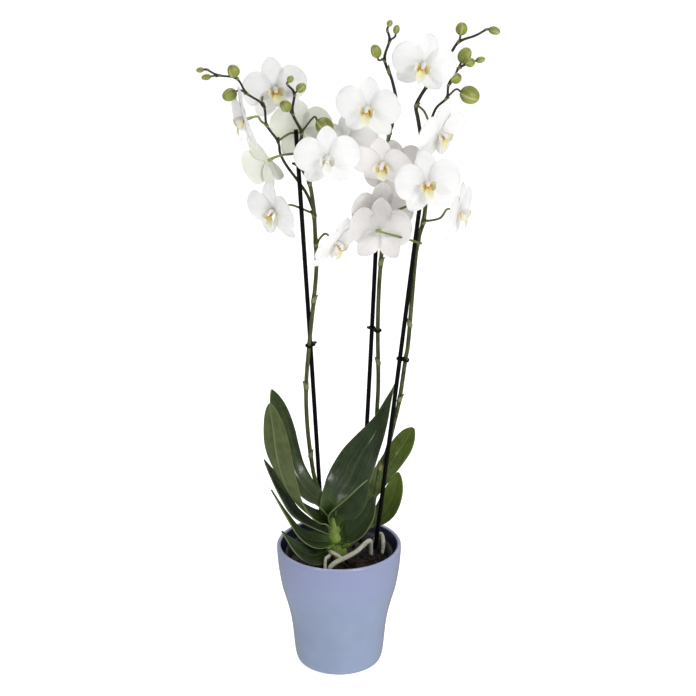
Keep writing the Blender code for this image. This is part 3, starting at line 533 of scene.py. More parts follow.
def callus_finish():
    """Deep yellow with red-brown dots."""
    callus = Finish("callus", Specular_IOR_Level=0.5, Subsurface_Weight=0.2, Subsurface_Scale=0.002)
    spots = callus.noise(callus.place(), 1400.0, 2.0, 0.5)
    callus.set(Base_Color=callus.mix(spots.between(0.53, 0.60), (0.92, 0.56, 0.03), (0.45, 0.07, 0.02)))
    callus.set(Roughness=0.28 + 0.2 * spots)
    return callus.material


def stem_finish():
    """Olive green below and dark purplish brown towards the flowers, finely streaked and dotted."""
    stem = Finish("stem", Coat_Weight=0.08, Coat_Roughness=0.3, Specular_IOR_Level=0.35)
    place = stem.place()
    streaks = stem.noise(stem.stretched(place, (900.0, 900.0, 45.0)), 1.0, 4.0, 0.6)
    patch = stem.noise(stem.stretched(place, (60.0, 60.0, 24.0)), 1.0, 3.0, 0.6)
    dots = stem.noise(place, 1300.0, 2.0, 0.5)
    green = stem.mix(streaks.between(0.36, 0.64), (0.028, 0.040, 0.008), (0.105, 0.128, 0.034))
    dark = stem.mix(streaks.between(0.36, 0.66), (0.010, 0.007, 0.006), (0.050, 0.038, 0.024))
    share = (stem.height() + (patch - 0.5) * 0.22).between(0.52, 0.615)
    bare = stem.mix(share * 0.9, green, dark)
    stem.set(Base_Color=stem.mix(dots.between(0.62, 0.72) * 0.35, bare, (0.05, 0.02, 0.02)))
    stem.set(Roughness=0.36 + 0.20 * streaks)
    stem.set(Normal=stem.bump(streaks + dots * 0.3, 0.00035, 0.6))
    return stem.material


def stalk_finish(name, near_stem, near_flower):
    """One green at the stem that turns into another at the flower or the bud."""
    stalk = Finish(name, Coat_Weight=0.12, Coat_Roughness=0.3, Subsurface_Weight=0.15,
                   Subsurface_Scale=0.002)
    along = stalk.along()
    tone = stalk.noise(stalk.place(), 260.0, 3.0, 0.6)
    grown = stalk.mix(along.between(0.25, 1.0), near_stem, near_flower)
    stalk.set(Base_Color=stalk.mix(tone.between(0.4, 0.7) * 0.4, grown, (0.10, 0.12, 0.04)))
    stalk.set(Roughness=0.38 + 0.15 * tone)
    stalk.set(Normal=stalk.bump(tone, 0.0003, 0.4))
    return stalk.material


def bud_finish():
    """Yellow-green, with the pale seams of the folded sepals from the stalk to the tip."""
    bud = Finish("bud", Coat_Weight=0.15, Coat_Roughness=0.3, Subsurface_Weight=0.2,
                 Subsurface_Scale=0.003)
    across = bud.across()
    along = bud.along()
    turn = across * (2 * math.pi)
    seam = (turn * 3).cosine().between(0.80, 1.0)
    vein = (turn * 9).cosine().between(0.55, 1.0)
    tone = bud.noise(bud.place(), 220.0, 3.0, 0.6)
    stops = [(0.0, (0.085, 0.115, 0.018)), (0.28, (0.215, 0.250, 0.036)),
             (0.70, (0.330, 0.365, 0.070)), (0.93, (0.230, 0.215, 0.050)),
             (1.0, (0.090, 0.065, 0.025))]
    green = bud.ramp(along + (tone - 0.5) * 0.25, stops)
    green = bud.mix(vein * 0.22, green, (0.46, 0.50, 0.17))
    green = bud.mix(seam * 0.60, green, (0.56, 0.58, 0.24))
    bud.set(Base_Color=bud.mix(tone.between(0.58, 0.75) * 0.25, green, (0.12, 0.13, 0.025)))
    bud.set(Roughness=0.38 + 0.15 * tone)
    bud.set(Normal=bud.bump(seam * -0.7 + vein * 0.3 + tone * 0.4, 0.0005, 0.6))
    return bud.material


def scale_finish():
    """The small papery scale leaves at the nodes of the stems."""
    scale = Finish("stem_scale", Specular_IOR_Level=0.35)
    both = scale.sheet()
    along = scale.along()
    streaks = scale.noise(scale.stretched(both, (26.0, 1.5, 1.0)), 1.0, 3.0, 0.6)
    green = scale.mix(streaks.between(0.35, 0.65), (0.13, 0.15, 0.05), (0.27, 0.28, 0.12))
    scale.set(Base_Color=scale.mix(along.between(0.35, 0.95), green, (0.16, 0.10, 0.05)))
    scale.set(Roughness=0.50 + 0.2 * streaks)
    scale.set(Normal=scale.bump(streaks, 0.0003, 0.6))
    return scale.material


def root_finish():
    """The silvery spongy skin, mottled green where it is damp."""
    root = Finish("root_skin", Specular_IOR_Level=0.3)
    place = root.place()
    damp = root.noise(place, 120.0, 3.0, 0.6)
    grain = root.noise(place, 900.0, 4.0, 0.65)
    silver = root.mix(grain.between(0.35, 0.65), (0.520, 0.505, 0.390), (0.780, 0.755, 0.640))
    root.set(Base_Color=root.mix(damp.between(0.54, 0.74) * 0.7, silver, (0.235, 0.270, 0.140)))
    root.set(Roughness=0.58 + 0.25 * grain)
    root.set(Normal=root.bump(grain + damp, 0.0008, 0.7))
    return root.material


def crown_finish():
    """Bright streaky green, brown where it stands in the bark."""
    crown = Finish("crown", Coat_Weight=0.25, Coat_Roughness=0.25, Subsurface_Weight=0.15,
                   Subsurface_Scale=0.004)
    place = crown.place()
    height = crown.height()
    streaks = crown.noise(crown.stretched(place, (420.0, 420.0, 60.0)), 1.0, 3.0, 0.6)
    tone = crown.noise(place, 90.0, 2.0, 0.5)
    bright = crown.mix(streaks.between(0.35, 0.65), (0.165, 0.275, 0.035), (0.320, 0.440, 0.090))
    bright = crown.mix(tone.between(0.5, 0.75) * 0.5, bright, (0.110, 0.190, 0.035))
    crown.set(Base_Color=crown.mix(height.between(0.124, 0.134), (0.085, 0.060, 0.025), bright))
    crown.set(Roughness=0.34 + 0.18 * streaks)
    crown.set(Normal=crown.bump(streaks + tone, 0.0005, 0.6))
    return crown.material


def black_plastic_finish(name, gloss):
    """Black plastic with fine drawn lines and grey scuffs."""
    black = Finish(name, Specular_IOR_Level=0.16)
    place = black.place()
    streaks = black.noise(black.stretched(place, (700.0, 700.0, 14.0)), 1.0, 3.0, 0.6)
    scuffs = black.noise(place, 500.0, 4.0, 0.7)
    worn = scuffs.between(0.6, 0.8) * 0.5
    black.set(Base_Color=black.mix(worn, (0.0030, 0.0030, 0.0034), (0.014, 0.013, 0.012)))
    black.set(Roughness=gloss + 0.25 * scuffs.between(0.4, 0.8))
    black.set(Normal=black.bump(streaks + scuffs * 0.4, 0.0002, 0.5))
    return black.material


WORN_GLAZE = (0.55, 0.58, 0.80)
BLUE_GLAZE = glaze_finish("blue_glaze", (0.300, 0.372, 0.545), (0.290, 0.330, 0.530), WORN_GLAZE)
# The pot's inside takes a much darker copy of the glaze: painted shade.
SHADED_INNER_GLAZE = glaze_finish("inner_glaze_painted_shade", (0.030, 0.038, 0.080), (0.060, 0.070, 0.140), WORN_GLAZE)
SHADED_CLEAR_PLASTIC = clear_plastic_finish()
BARK_CHIP = bark_finish("bark_chip", 0.30)
# The bed under the chips takes a darker copy of the bark: painted shade in the gaps between the chips.
SHADED_BARK_BED = bark_finish("bark_bed_painted_shade", 0.18)
LEAF_TOPS = {
    "dark": leaf_finish("leaf_dark", (0.009, 0.024, 0.005), (0.038, 0.070, 0.012),
                        (0.085, 0.160, 0.020), 0.26),
    "middle": leaf_finish("leaf_middle", (0.026, 0.046, 0.009), (0.062, 0.098, 0.020),
                          (0.060, 0.110, 0.020), 0.27),
    "young": leaf_finish("leaf_young", (0.075, 0.125, 0.010), (0.140, 0.200, 0.022),
                         (0.190, 0.270, 0.040), 0.30),
}
LEAF_UNDER = leaf_under_finish()
LEAF_EDGE = leaf_edge_finish()
# White petals, pinkish petals and greenish petals.
PETALS = {
    "white": petal_finish("petal_white", (0.930, 0.930, 0.920), (0.760, 0.760, 0.765),
                          (0.820, 0.840, 0.620), (1.0, 0.95, 0.88)),
    "blush": petal_finish("petal_blush", (0.910, 0.870, 0.850), (0.740, 0.680, 0.665),
                          (0.800, 0.800, 0.560), (1.0, 0.86, 0.80)),
    "fresh": petal_finish("petal_fresh", (0.925, 0.945, 0.840), (0.790, 0.830, 0.590),
                          (0.700, 0.790, 0.300), (0.95, 1.0, 0.72)),
}
LIP = lip_finish("lip", 0.80, [
    (0.0, (0.84, 0.58, 0.10)), (0.26, (0.86, 0.70, 0.22)), (0.46, (0.85, 0.80, 0.48)),
    (0.66, (0.86, 0.84, 0.76)), (1.0, (0.87, 0.86, 0.85)),
])
# A pale copy of the lip with hardly any yellow and few marks: a painted highlight for a lip washed out by
# light.
HIGHLIGHTED_LIP = lip_finish("lip_painted_highlight", 0.12, [
    (0.0, (0.86, 0.80, 0.52)), (0.30, (0.88, 0.86, 0.74)), (0.60, (0.90, 0.89, 0.86)),
    (1.0, (0.90, 0.90, 0.89)),
])
COLUMN = column_finish()
CALLUS = callus_finish()
STEM = stem_finish()
FLOWER_STALK = stalk_finish("flower_stalk", (0.110, 0.140, 0.026), (0.360, 0.420, 0.150))
BUD_STALK = stalk_finish("bud_stalk", (0.045, 0.045, 0.016), (0.120, 0.140, 0.032))
BUD = bud_finish()
STEM_SCALE = scale_finish()
ROOT_SKIN = root_finish()
CROWN_GREEN = crown_finish()
STAKE_BLACK = black_plastic_finish("stake_black", 0.34)
CLIP_BLACK = black_plastic_finish("clip_black", 0.42)

# ---------------------------------------------------------------- routes


def smooth(points, steps):
    """A smooth curve through the points, with so many steps between two of them."""
    knots = [Vector(point) for point in points]
    knots = [2 * knots[0] - knots[1]] + knots + [2 * knots[-1] - knots[-2]]
    route = []
    for a, b, c, d in zip(knots, knots[1:], knots[2:], knots[3:]):
        for step in range(steps):
            t = step / steps
            bend = (2 * a - 5 * b + 4 * c - d) * t * t + (3 * b - a - 3 * c + d) * t ** 3
            route.append(b + 0.5 * ((c - a) * t + bend))
    return route + [knots[-2]]


def at_height(route, height):
    """The point of a rising route at a height."""
    for a, b in zip(route, route[1:]):
        if a.z <= height <= b.z:
            return a.lerp(b, (height - a.z) / max(b.z - a.z, 1e-9))
    return min(route, key=lambda point: abs(point.z - height))


def at_fraction(values, t):
    """The point or number at a fraction of a list, counted along it."""
    place = min(max(t, 0.0), 1.0) * (len(values) - 1)
    index = min(int(place), len(values) - 2)
    low, high, share = values[index], values[index + 1], place - index
    return low + (high - low) * share


def soft_step(low, high, value):
    t = min(max((value - low) / (high - low), 0.0), 1.0)
    return t * t * (3 - 2 * t)


STEM_ROUTES = {name: smooth(points, 6) for name, points in STEMS.items()}


def stem_direction(name, height):
    route = STEM_ROUTES[name]
    return (at_height(route, height + 0.003) - at_height(route, height - 0.003)).normalized()


def stem_radius_at(name, t):
    """Stems are thickest at the crown and thin out towards the last bud."""
    if name.endswith("branch"):
        return 0.0017 - 0.0007 * t
    return STEM_RADIUS - 0.0002 * t - 0.0011 * max(0.0, t - 0.62) / 0.38


def radius_near(name, height):
    route = STEM_ROUTES[name]
    near = min(range(len(route)), key=lambda index: abs(route[index].z - height))
    return stem_radius_at(name, near / (len(route) - 1))


# ---------------------------------------------------------------- modelling


def pick(*pieces):
    bpy.ops.object.select_all(action="DESELECT")
    for piece in pieces:
        piece.select_set(True)
    bpy.context.view_layer.objects.active = pieces[0]


def apply_modifiers(piece):
    pick(piece)
    for modifier in list(piece.modifiers):
        bpy.ops.object.modifier_apply(modifier=modifier.name)


def join(pieces):
    pick(*pieces)
    bpy.ops.object.join()
    return bpy.context.object


def round_off(piece, degrees=60):
    """Smooth shading, but for edges sharper than the angle."""
    pick(piece)
    bpy.ops.object.shade_smooth_by_angle(angle=math.radians(degrees))


def soften(piece):
    """One level of smooth surface, applied."""
    surface = piece.modifiers.new("smooth", "SUBSURF")
    surface.levels = 1
    surface.render_levels = 1
    apply_modifiers(piece)


def settle(piece, name, finishes=None, stands_for=()):
    """Names a finished piece, gives it its finishes and hangs it on the plant."""
    piece.name = name
    piece.data.name = name
    if finishes:
        piece.data.materials.clear()
        for finish in finishes:
            piece.data.materials.append(finish)
    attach(piece, "root")
    if stands_for:
        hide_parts(*stands_for)


def paint(piece, finish):
    piece.data.materials.clear()
    piece.data.materials.append(finish)
    return piece


def blade(spine, face, half_width, rise, across, along, spread=lambda u: u):
    """A leaf or a petal: a grid bent along its spine, shaped across by rise.

    spine and face give the place and the way the upper side looks at a fraction of the length,
    half_width its half width there, and rise the height of the sheet at (side, fraction).
    """
    bpy.ops.mesh.primitive_grid_add(x_subdivisions=across, y_subdivisions=along, size=2.0, calc_uvs=True)
    piece = bpy.context.object
    step = 0.01
    for vertex in piece.data.vertices:
        side, t = vertex.co.x, spread((vertex.co.y + 1) / 2)
        ahead = (spine(min(t + step, 1.0)) - spine(max(t - step, 0.0))).normalized()
        right = ahead.cross(face(t)).normalized()
        up = right.cross(ahead)
        vertex.co = spine(t) + right * side * half_width(t) + up * rise(side, t)
    return piece


def thicken(piece, thickness, finishes=()):
    """Gives a sheet its thickness; finishes are those of its upper side, under side and edge."""
    for finish in finishes:
        piece.data.materials.append(finish)
    layers = 1 if finishes else 0
    solid = piece.modifiers.new("thickness", "SOLIDIFY")
    solid.thickness = thickness
    solid.offset = 0.0
    solid.material_offset = layers
    solid.material_offset_rim = 2 * layers
    apply_modifiers(piece)


def even_ends(u):
    """Rows that lie closer together at both ends."""
    return 0.5 - 0.5 * math.cos(math.pi * u)


def rolled(route, radii, sides, ripple=None):
    """A round stalk: a grid rolled up along the route, sewn along its seam and closed at its ends."""
    rows = len(route) - 1
    frames = []
    side = Vector((1, 0, 0))
    for index in range(rows + 1):
        ahead = (route[min(index + 1, rows)] - route[max(index - 1, 0)]).normalized()
        side = (side - ahead * side.dot(ahead)).normalized()
        frames.append((side, ahead.cross(side)))
    bpy.ops.mesh.primitive_grid_add(x_subdivisions=sides, y_subdivisions=rows, size=2.0, calc_uvs=True)
    piece = bpy.context.object
    for vertex in piece.data.vertices:
        row = round((vertex.co.y + 1) / 2 * rows)
        turn = math.pi * (vertex.co.x + 1)
        out = frames[row][0] * math.cos(turn) + frames[row][1] * math.sin(turn)
        radius = radii[row] * (ripple(turn, row / rows) if ripple else 1.0)
        vertex.co = route[row] + out * radius
    pick(piece)
    bpy.ops.object.mode_set(mode="EDIT")
    bpy.ops.mesh.select_all(action="SELECT")
    bpy.ops.mesh.remove_doubles(threshold=0.000002)
    bpy.ops.mesh.fill_holes(sides=0)
    bpy.ops.mesh.normals_make_consistent(inside=False)
    bpy.ops.object.mode_set(mode="OBJECT")
    round_off(piece)
    return piece


def turned(profile, steps):
    """A pot turned on a wheel: a ring drawn up and in along the profile, ring after ring."""
    bpy.ops.mesh.primitive_circle_add(vertices=steps, radius=profile[0][0], location=(0, 0, profile[0][1]))
    piece = bpy.context.object
    pick(piece)
    bpy.ops.object.transform_apply(location=True)
    bpy.ops.object.mode_set(mode="EDIT")
    bpy.ops.mesh.select_all(action="SELECT")
    bpy.ops.mesh.edge_face_add()
    for (radius, height), (next_radius, next_height) in zip(profile, profile[1:]):
        growth = next_radius / radius
        bpy.ops.mesh.extrude_region_move(TRANSFORM_OT_translate={"value": (0, 0, next_height - height)})
        bpy.ops.transform.resize(value=(growth, growth, 1.0), center_override=(0, 0, next_height))
    bpy.ops.mesh.select_all(action="SELECT")
    bpy.ops.mesh.normals_make_consistent(inside=False)
    bpy.ops.object.mode_set(mode="OBJECT")
    return piece


# ---------------------------------------------------------------- pots and bark


def curved(profile, steps):
    """More points on a profile's smooth stretches."""
    return [(point.x, point.y) for point in smooth([(r, z, 0) for r, z in profile], steps)]


def make_cover_pot():
    """The glazed pot with its rounded lip, hollow foot and an inside painted darker as shade."""
    lip_radius = POT_WALL / 2
    middle = (POT_SIDE[0][0] - lip_radius, POT_HEIGHT - lip_radius)
    lip = []
    for step in range(13):
        angle = math.radians(15 * step)
        lip.append((middle[0] + lip_radius * math.cos(angle), middle[1] + lip_radius * math.sin(angle)))
    outside = curved(POT_SIDE[::-1], 4)
    inside = [(r - POT_WALL, z) for r, z in curved(POT_SIDE[:8], 3)]
    foot = inside[-1][0]
    cove = [(foot - 0.0015, POT_FLOOR + 0.0040), (foot - 0.0045, POT_FLOOR + 0.0006),
            (foot - 0.0080, POT_FLOOR), (0.020, POT_FLOOR)]
    foot_ring = [(0.0380, 0.0016), (0.0400, 0.0014), (0.0412, 0.0)]
    pot = turned(foot_ring + outside + lip + inside + cove, 128)
    round_off(pot, 50)
    settle(pot, "cover_pot", [BLUE_GLAZE, SHADED_INNER_GLAZE], ["ceramic_pot"])
    # Faces that look inwards, above the floor, take the darker copy: painted shade inside the pot.
    for face in pot.data.polygons:
        inward = -(face.normal.x * face.center.x + face.normal.y * face.center.y)
        if inward > 0.7 * face.center.xy.length and face.center.z > POT_FLOOR:
            face.material_index = 1


def make_clear_pot():
    """The thin tapered pot inside, with its rolled rim."""
    floor = POT_FLOOR + 0.0003
    wall_foot = floor + 0.002
    rim = GROW_POT_TOP - 0.003
    rim_radius = GROW_POT_RADIUS + 0.0022
    outside = [(GROW_POT_FOOT - 0.003, floor), (GROW_POT_FOOT, wall_foot)]
    for step in range(1, 9):
        t = step / 8
        radius = GROW_POT_FOOT + (GROW_POT_RADIUS - GROW_POT_FOOT) * t
        outside.append((radius, wall_foot + (rim - wall_foot) * t))
    lip = [(rim_radius - 0.0004, rim + 0.0001), (rim_radius, rim + 0.0005),
           (rim_radius, GROW_POT_TOP - 0.0006), (rim_radius - 0.0006, GROW_POT_TOP),
           (GROW_POT_RADIUS + 0.0002, GROW_POT_TOP), (GROW_POT_RADIUS - 0.0004, GROW_POT_TOP - 0.0006)]
    inside = [(r - GROW_POT_WALL, z) for r, z in outside[:1:-1]]
    inside += [(GROW_POT_FOOT - GROW_POT_WALL, floor + 0.003),
               (GROW_POT_FOOT - 0.004, floor + GROW_POT_WALL), (0.018, floor + GROW_POT_WALL)]
    pot = turned([(0.020, floor)] + outside + lip + inside, 96)
    round_off(pot, 40)
    settle(pot, "clear_pot", [SHADED_CLEAR_PLASTIC], ["grow_pot"])


def make_bark_bed():
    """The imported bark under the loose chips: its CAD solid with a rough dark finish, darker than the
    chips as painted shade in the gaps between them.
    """
    paint(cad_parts["bark_mix"], SHADED_BARK_BED)


def bark_chip(seed):
    """A rough splinter of bark, about 1 m long before it is placed."""
    chance = random.Random(seed)
    bpy.ops.mesh.primitive_cube_add(size=1.0)
    chip = bpy.context.object
    pick(chip)
    bpy.ops.object.mode_set(mode="EDIT")
    bpy.ops.mesh.select_all(action="SELECT")
    bpy.ops.mesh.subdivide(number_cuts=2)
    bpy.ops.object.mode_set(mode="OBJECT")
    for vertex in chip.data.vertices:
        rounding = 1.0 - 0.22 * (vertex.co.x ** 2 + vertex.co.y ** 2) * 2
        jitter = Vector([chance.uniform(-0.07, 0.07) for axis in range(3)])
        vertex.co = vertex.co * rounding + jitter
        vertex.co.z += 0.18 * vertex.co.x * vertex.co.x
    return chip


def make_bark_chips():
    """The loose chips on top, heaped a little in the middle."""
    chance = random.Random(11)
    kinds = [bark_chip(seed) for seed in range(5)]
    chips = []
    for number in range(BARK_CHIPS):
        chip = kinds[number % len(kinds)].copy()
        chip.data = chip.data.copy()
        bpy.context.scene.collection.objects.link(chip)
        length = chance.uniform(0.008, 0.019)
        width, height = length * chance.uniform(0.45, 0.75), length * chance.uniform(0.22, 0.40)
        size = Matrix.Diagonal((length, width, height, 1))
        tilt = Matrix.Rotation(chance.uniform(-0.5, 0.5), 4, "X")
        tilt = tilt @ Matrix.Rotation(chance.uniform(-0.5, 0.5), 4, "Y")
        turn = Matrix.Rotation(chance.uniform(0, 2 * math.pi), 4, "Z")
        distance = BARK_SPREAD * math.sqrt(chance.random())
        angle = chance.uniform(0, 2 * math.pi)
        heap = 0.0015 + 0.0035 * chance.random() - 0.9 * max(0.0, distance - 0.030) ** 1.3
        place = (distance * math.cos(angle), distance * math.sin(angle), BARK_TOP + heap)
        chip.data.transform(Matrix.Translation(place) @ turn @ tilt @ size)
        chips.append(chip)
    for kind in kinds:
        bpy.data.objects.remove(kind, do_unlink=True)
    loose = join(chips)
    round_off(loose, 35)
    settle(loose, "bark_chips", [BARK_CHIP])


# ---------------------------------------------------------------- stakes and clips


def stake_route(name):
    """A stake's middle line, carried straight on down into the bark."""
    foot, middle, top = (Vector(point) for point in STAKES[name])
    slope = (middle - foot) / (middle.z - foot.z)
    return [foot - slope * (foot.z - STAKE_FOOT)] + smooth((foot, middle, top), 12)


def make_stake(name):
    """A round rod with a bevelled top."""
    route = stake_route(name)
    ahead = (route[-1] - route[-2]).normalized()
    edge = STAKE_RADIUS * 0.25
    route = route[:-1] + [route[-1] - ahead * edge, route[-1]]
    radii = [STAKE_RADIUS] * (len(route) - 1) + [STAKE_RADIUS - edge]
    stake = rolled(route, radii, 20)
    round_off(stake, 35)
    settle(stake, f"stake_{name}_rod", [STAKE_BLACK], [f"stake_{name}"])


def ring(middle, axis, radius):
    """One loop of a clip, drawn out to a short sleeve."""
    bpy.ops.mesh.primitive_torus_add(
        major_radius=radius, minor_radius=CLIP_WALL, major_segments=32, minor_segments=10,
        location=middle, rotation=axis.to_track_quat("Z", "Y").to_euler(),
    )
    loop = bpy.context.object
    pick(loop)
    bpy.ops.object.transform_apply(location=True, rotation=True, scale=True)
    bpy.ops.object.mode_set(mode="EDIT")
    bpy.ops.mesh.select_all(action="SELECT")
    bpy.ops.transform.resize(value=(1.0, 1.0, 1.7), center_override=middle)
    bpy.ops.object.mode_set(mode="OBJECT")
    return loop


def finger(root, way, rise):
    """One of the two grips that stand out like wings: a small paddle, thin and rounded."""
    tip = root + way * GRIP_LENGTH + Vector((0, 0, rise))
    middle = root.lerp(tip, 0.5) + Vector((0, 0, rise * 0.15))
    route = smooth([root, middle, tip], 6)
    paddle = blade(
        lambda t: at_fraction(route, t), lambda t: Vector((0, -0.3, 1)),
        lambda t: 0.0011 + 0.0014 * math.sin(math.pi * min(1.0, 0.12 + 0.80 * t)),
        lambda side, t: 0.0, 6, 10, even_ends,
    )
    thicken(paddle, 0.0012)
    soften(paddle)
    return paddle


def make_clip(name, stake, stem, height):
    """A butterfly clip: one loop for the stake, one for the stem, a bridge and two grips."""
    on_stake = at_height(stake_route(stake), height)
    on_stem = at_height(STEM_ROUTES[stem], height)
    way = (on_stem - on_stake).normalized()
    stake_axis = (at_height(stake_route(stake), height + 0.01) - on_stake).normalized()
    pieces = [
        ring(on_stake, stake_axis, STAKE_RADIUS + CLIP_WALL),
        ring(on_stem, stem_direction(stem, height), STEM_RADIUS + 0.0004 + CLIP_WALL),
    ]
    bridge_start = on_stake + way * (STAKE_RADIUS + CLIP_WALL)
    bridge_end = on_stem - way * (STEM_RADIUS + CLIP_WALL)
    bridge = [bridge_start.lerp(bridge_end, t / 4) for t in range(5)]
    pieces.append(rolled(bridge, [0.0013, 0.0010, 0.0009, 0.0010, 0.0013], 10))
    front = Vector((way.y, -way.x, 0)).normalized()
    if front.y > 0:
        front = -front
    for root, hand in ((bridge[1], -1), (bridge[3], 1)):
        pieces.append(finger(root + front * 0.0010, (front + way * 0.9 * hand).normalized(), 0.0016))
    clip = join([paint(piece, CLIP_BLACK) for piece in pieces])
    round_off(clip, 50)
    settle(clip, f"{name}_butterfly", [CLIP_BLACK], [name])


# ---------------------------------------------------------------- crown, leaves and roots


def make_crown():
    """The short stem, ringed where old leaves have left it, with two cut stubs."""
    route = smooth(CROWN, 16)
    radii = []
    for index in range(len(route)):
        t = index / (len(route) - 1)
        swell = 1.0 + 0.10 * abs(math.sin(t * 5.5 * math.pi)) ** 0.7
        radii.append(at_fraction(CROWN_RADII, t) * swell)
    radii[-1] *= 0.35
    stem = rolled(route, radii, 28, lambda turn, t: 1.0 + 0.06 * math.sin(3 * turn + 4 * t))
    pieces = [stem]
    for points, radius, end_radius in STUBS:
        stub = smooth(points, 4)
        pieces.append(rolled(stub, [radius] * (len(stub) - 1) + [end_radius], 14))
    crown = join([paint(piece, CROWN_GREEN) for piece in pieces])
    settle(crown, "crown_stem", [CROWN_GREEN], ["crown"])


def make_leaf(number, route, width, base_face, tip_face, fold, widest, drawn, base, finish):
    """A thick leaf folded along its midrib, which clasps the crown with its base."""
    points = smooth(route, 8)
    start, end = Vector(base_face).normalized(), Vector(tip_face).normalized()
    chance = random.Random(100 + number)
    wave, lean = chance.uniform(0, 6), chance.uniform(-1, 1)

    def half_width(t):
        if t < widest:
            return width / 2 * (base + (1 - base) * soft_step(0.0, 1.0, t / widest))
        far = (t - widest) / (1 - widest)
        return max(0.0003, width / 2 * (1 - far ** (2.5 - drawn)) ** drawn)

    def rise(side, t):
        half = half_width(t)
        clasp = 0.85 * (1 - soft_step(0.0, 0.28, t))
        trough = (fold * (1 - 0.4 * t) + clasp) * half * (abs(side) ** 1.4 - 0.35)
        groove = -0.0006 * math.exp(-(side / 0.07) ** 2) * math.sin(math.pi * min(1, t * 1.05))
        ripple = 0.0009 * side * abs(side) * math.sin(wave + 9 * t + 1.5 * side)
        ripple *= soft_step(0.15, 0.5, t)
        roll = -0.05 * half * lean * side * t
        return trough + groove + ripple + roll

    leaf = blade(
        lambda t: at_fraction(points, t), lambda t: start.lerp(end, t), half_width, rise,
        20, 48, lambda u: 0.35 * u + 0.65 * math.sin(u * math.pi / 2),
    )
    thicken(leaf, LEAF_THICKNESS, (LEAF_TOPS[finish], LEAF_UNDER, LEAF_EDGE))
    soften(leaf)
    round_off(leaf, 70)
    name = f"leaf_{number:02d}"
    settle(leaf, f"{name}_blade", None, [name])


def make_root(number, route, radius):
    """An air root: thick, a little uneven, and blunt at both ends."""
    points = smooth(route, 9)
    chance = random.Random(200 + number)
    last = len(points) - 1
    radii = []
    for index in range(len(points)):
        t = index / last
        radii.append(radius * (1.0 - 0.25 * abs(2 * t - 1) ** 3) * chance.uniform(0.94, 1.07))
    radii[0] *= 0.5
    radii[-1] *= 0.5
    root = rolled(points, radii, 18, lambda turn, t: 1.0 + 0.07 * math.sin(2 * turn + 9 * t))
    name = f"root_{number:02d}"
    settle(root, f"{name}_skin", [ROOT_SKIN], [name])


# ---------------------------------------------------------------- spikes and buds


def node_heights(stem):
    return [height for name, height, *rest in BUDS + FLOWERS + BARE_NODES if name == stem]


def make_stem(stem):
    """A stem, a little swollen at each of its nodes."""
    route = STEM_ROUTES[stem]
    knots = [at_height(route, height) for height in node_heights(stem)]
    last = len(route) - 1
    radii = []
    for index, point in enumerate(route):
        nearest = min((point - knot).length for knot in knots)
        swell = 1.0 + 0.28 * math.exp(-(nearest / 0.0032) ** 2)
        radii.append(stem_radius_at(stem, index / last) * swell)
    radii[-1] *= 0.5
    return rolled(route, radii, 14)


def make_scale(stem, height, way, length):
    """A small pointed scale that clasps the stem above a node."""
    ahead = stem_direction(stem, height)
    foot = at_height(STEM_ROUTES[stem], height) - ahead * 0.0022
    out = Vector(way)
    out = (out - ahead * out.dot(ahead)).normalized()
    side = ahead.cross(out)
    radius = radius_near(stem, height) * 1.12
    bpy.ops.mesh.primitive_grid_add(x_subdivisions=12, y_subdivisions=10, size=2.0, calc_uvs=True)
    scale = bpy.context.object
    for vertex in scale.data.vertices:
        across, t = vertex.co.x, (vertex.co.y + 1) / 2
        turn = across * math.radians(165) * (1 - t) ** 0.7
        stand = radius + 0.0002 + 0.0016 * t * t
        around = out * math.cos(turn) + side * math.sin(turn)
        vertex.co = foot + around * stand + ahead * length * (t - 0.25 * abs(across) * (1 - t))
    thicken(scale, SCALE_THICKNESS)
    return paint(scale, STEM_SCALE)


def make_bud(stem, height, bends, middle, length, width):
    """A closed bud on its stalk: a ball drawn out to a blunt tip, with three shallow seams."""
    route = [at_height(STEM_ROUTES[stem], height)] + [Vector(bend) for bend in bends]
    axis = (Vector(middle) - route[-1]).normalized()
    base = Vector(middle) - axis * length * 0.48
    bpy.ops.mesh.primitive_uv_sphere_add(segments=36, ring_count=20, radius=0.5, calc_uvs=True)
    head = bpy.context.object
    for vertex in head.data.vertices:
        t = vertex.co.z + 0.5
        turn = math.atan2(vertex.co.y, vertex.co.x)
        seam = 1.0 - 0.055 * max(0.0, math.cos(3 * turn)) ** 6 * math.sin(math.pi * t)
        lobe = 1.0 + 0.03 * math.cos(3 * turn + math.pi)
        fuller = 1.0 + 0.16 * math.sin(math.pi * t) * (0.45 - t)
        vertex.co.x *= width * seam * lobe * fuller
        vertex.co.y *= width * seam * lobe * fuller
        vertex.co.z = length * t
    turn_to_axis = axis.to_track_quat("Z", "Y").to_matrix().to_4x4()
    head.data.transform(Matrix.Translation(base) @ turn_to_axis)
    round_off(head, 80)
    thin = min(0.0011, width * 0.16)
    points = smooth(route + [base, base + axis * length * 0.06], 6)
    last = len(points) - 1
    radii = [thin * (1.0 + 0.45 * soft_step(0.75, 1.0, index / last)) for index in range(last + 1)]
    return [paint(head, BUD), paint(rolled(points, radii, 12), BUD_STALK)]


def node_scales(stems):
    """A scale under each bud and flower stalk, and one at each bare node."""
    scales = []
    for stem, height, bends, middle, *rest in BUDS:
        if stem in stems:
            way = Vector(middle) - at_height(STEM_ROUTES[stem], height)
            scales.append(make_scale(stem, height, way, BUD_SCALE))
    for stem, height, bends, middle, *rest in FLOWERS:
        if stem in stems:
            first = (bends + [middle])[0]
            way = Vector(first) - at_height(STEM_ROUTES[stem], height)
            scales.append(make_scale(stem, height, way, FLOWER_SCALE))
    for stem, height, way in BARE_NODES:
        if stem in stems:
            scales.append(make_scale(stem, height, way, BARE_SCALE))
    return scales


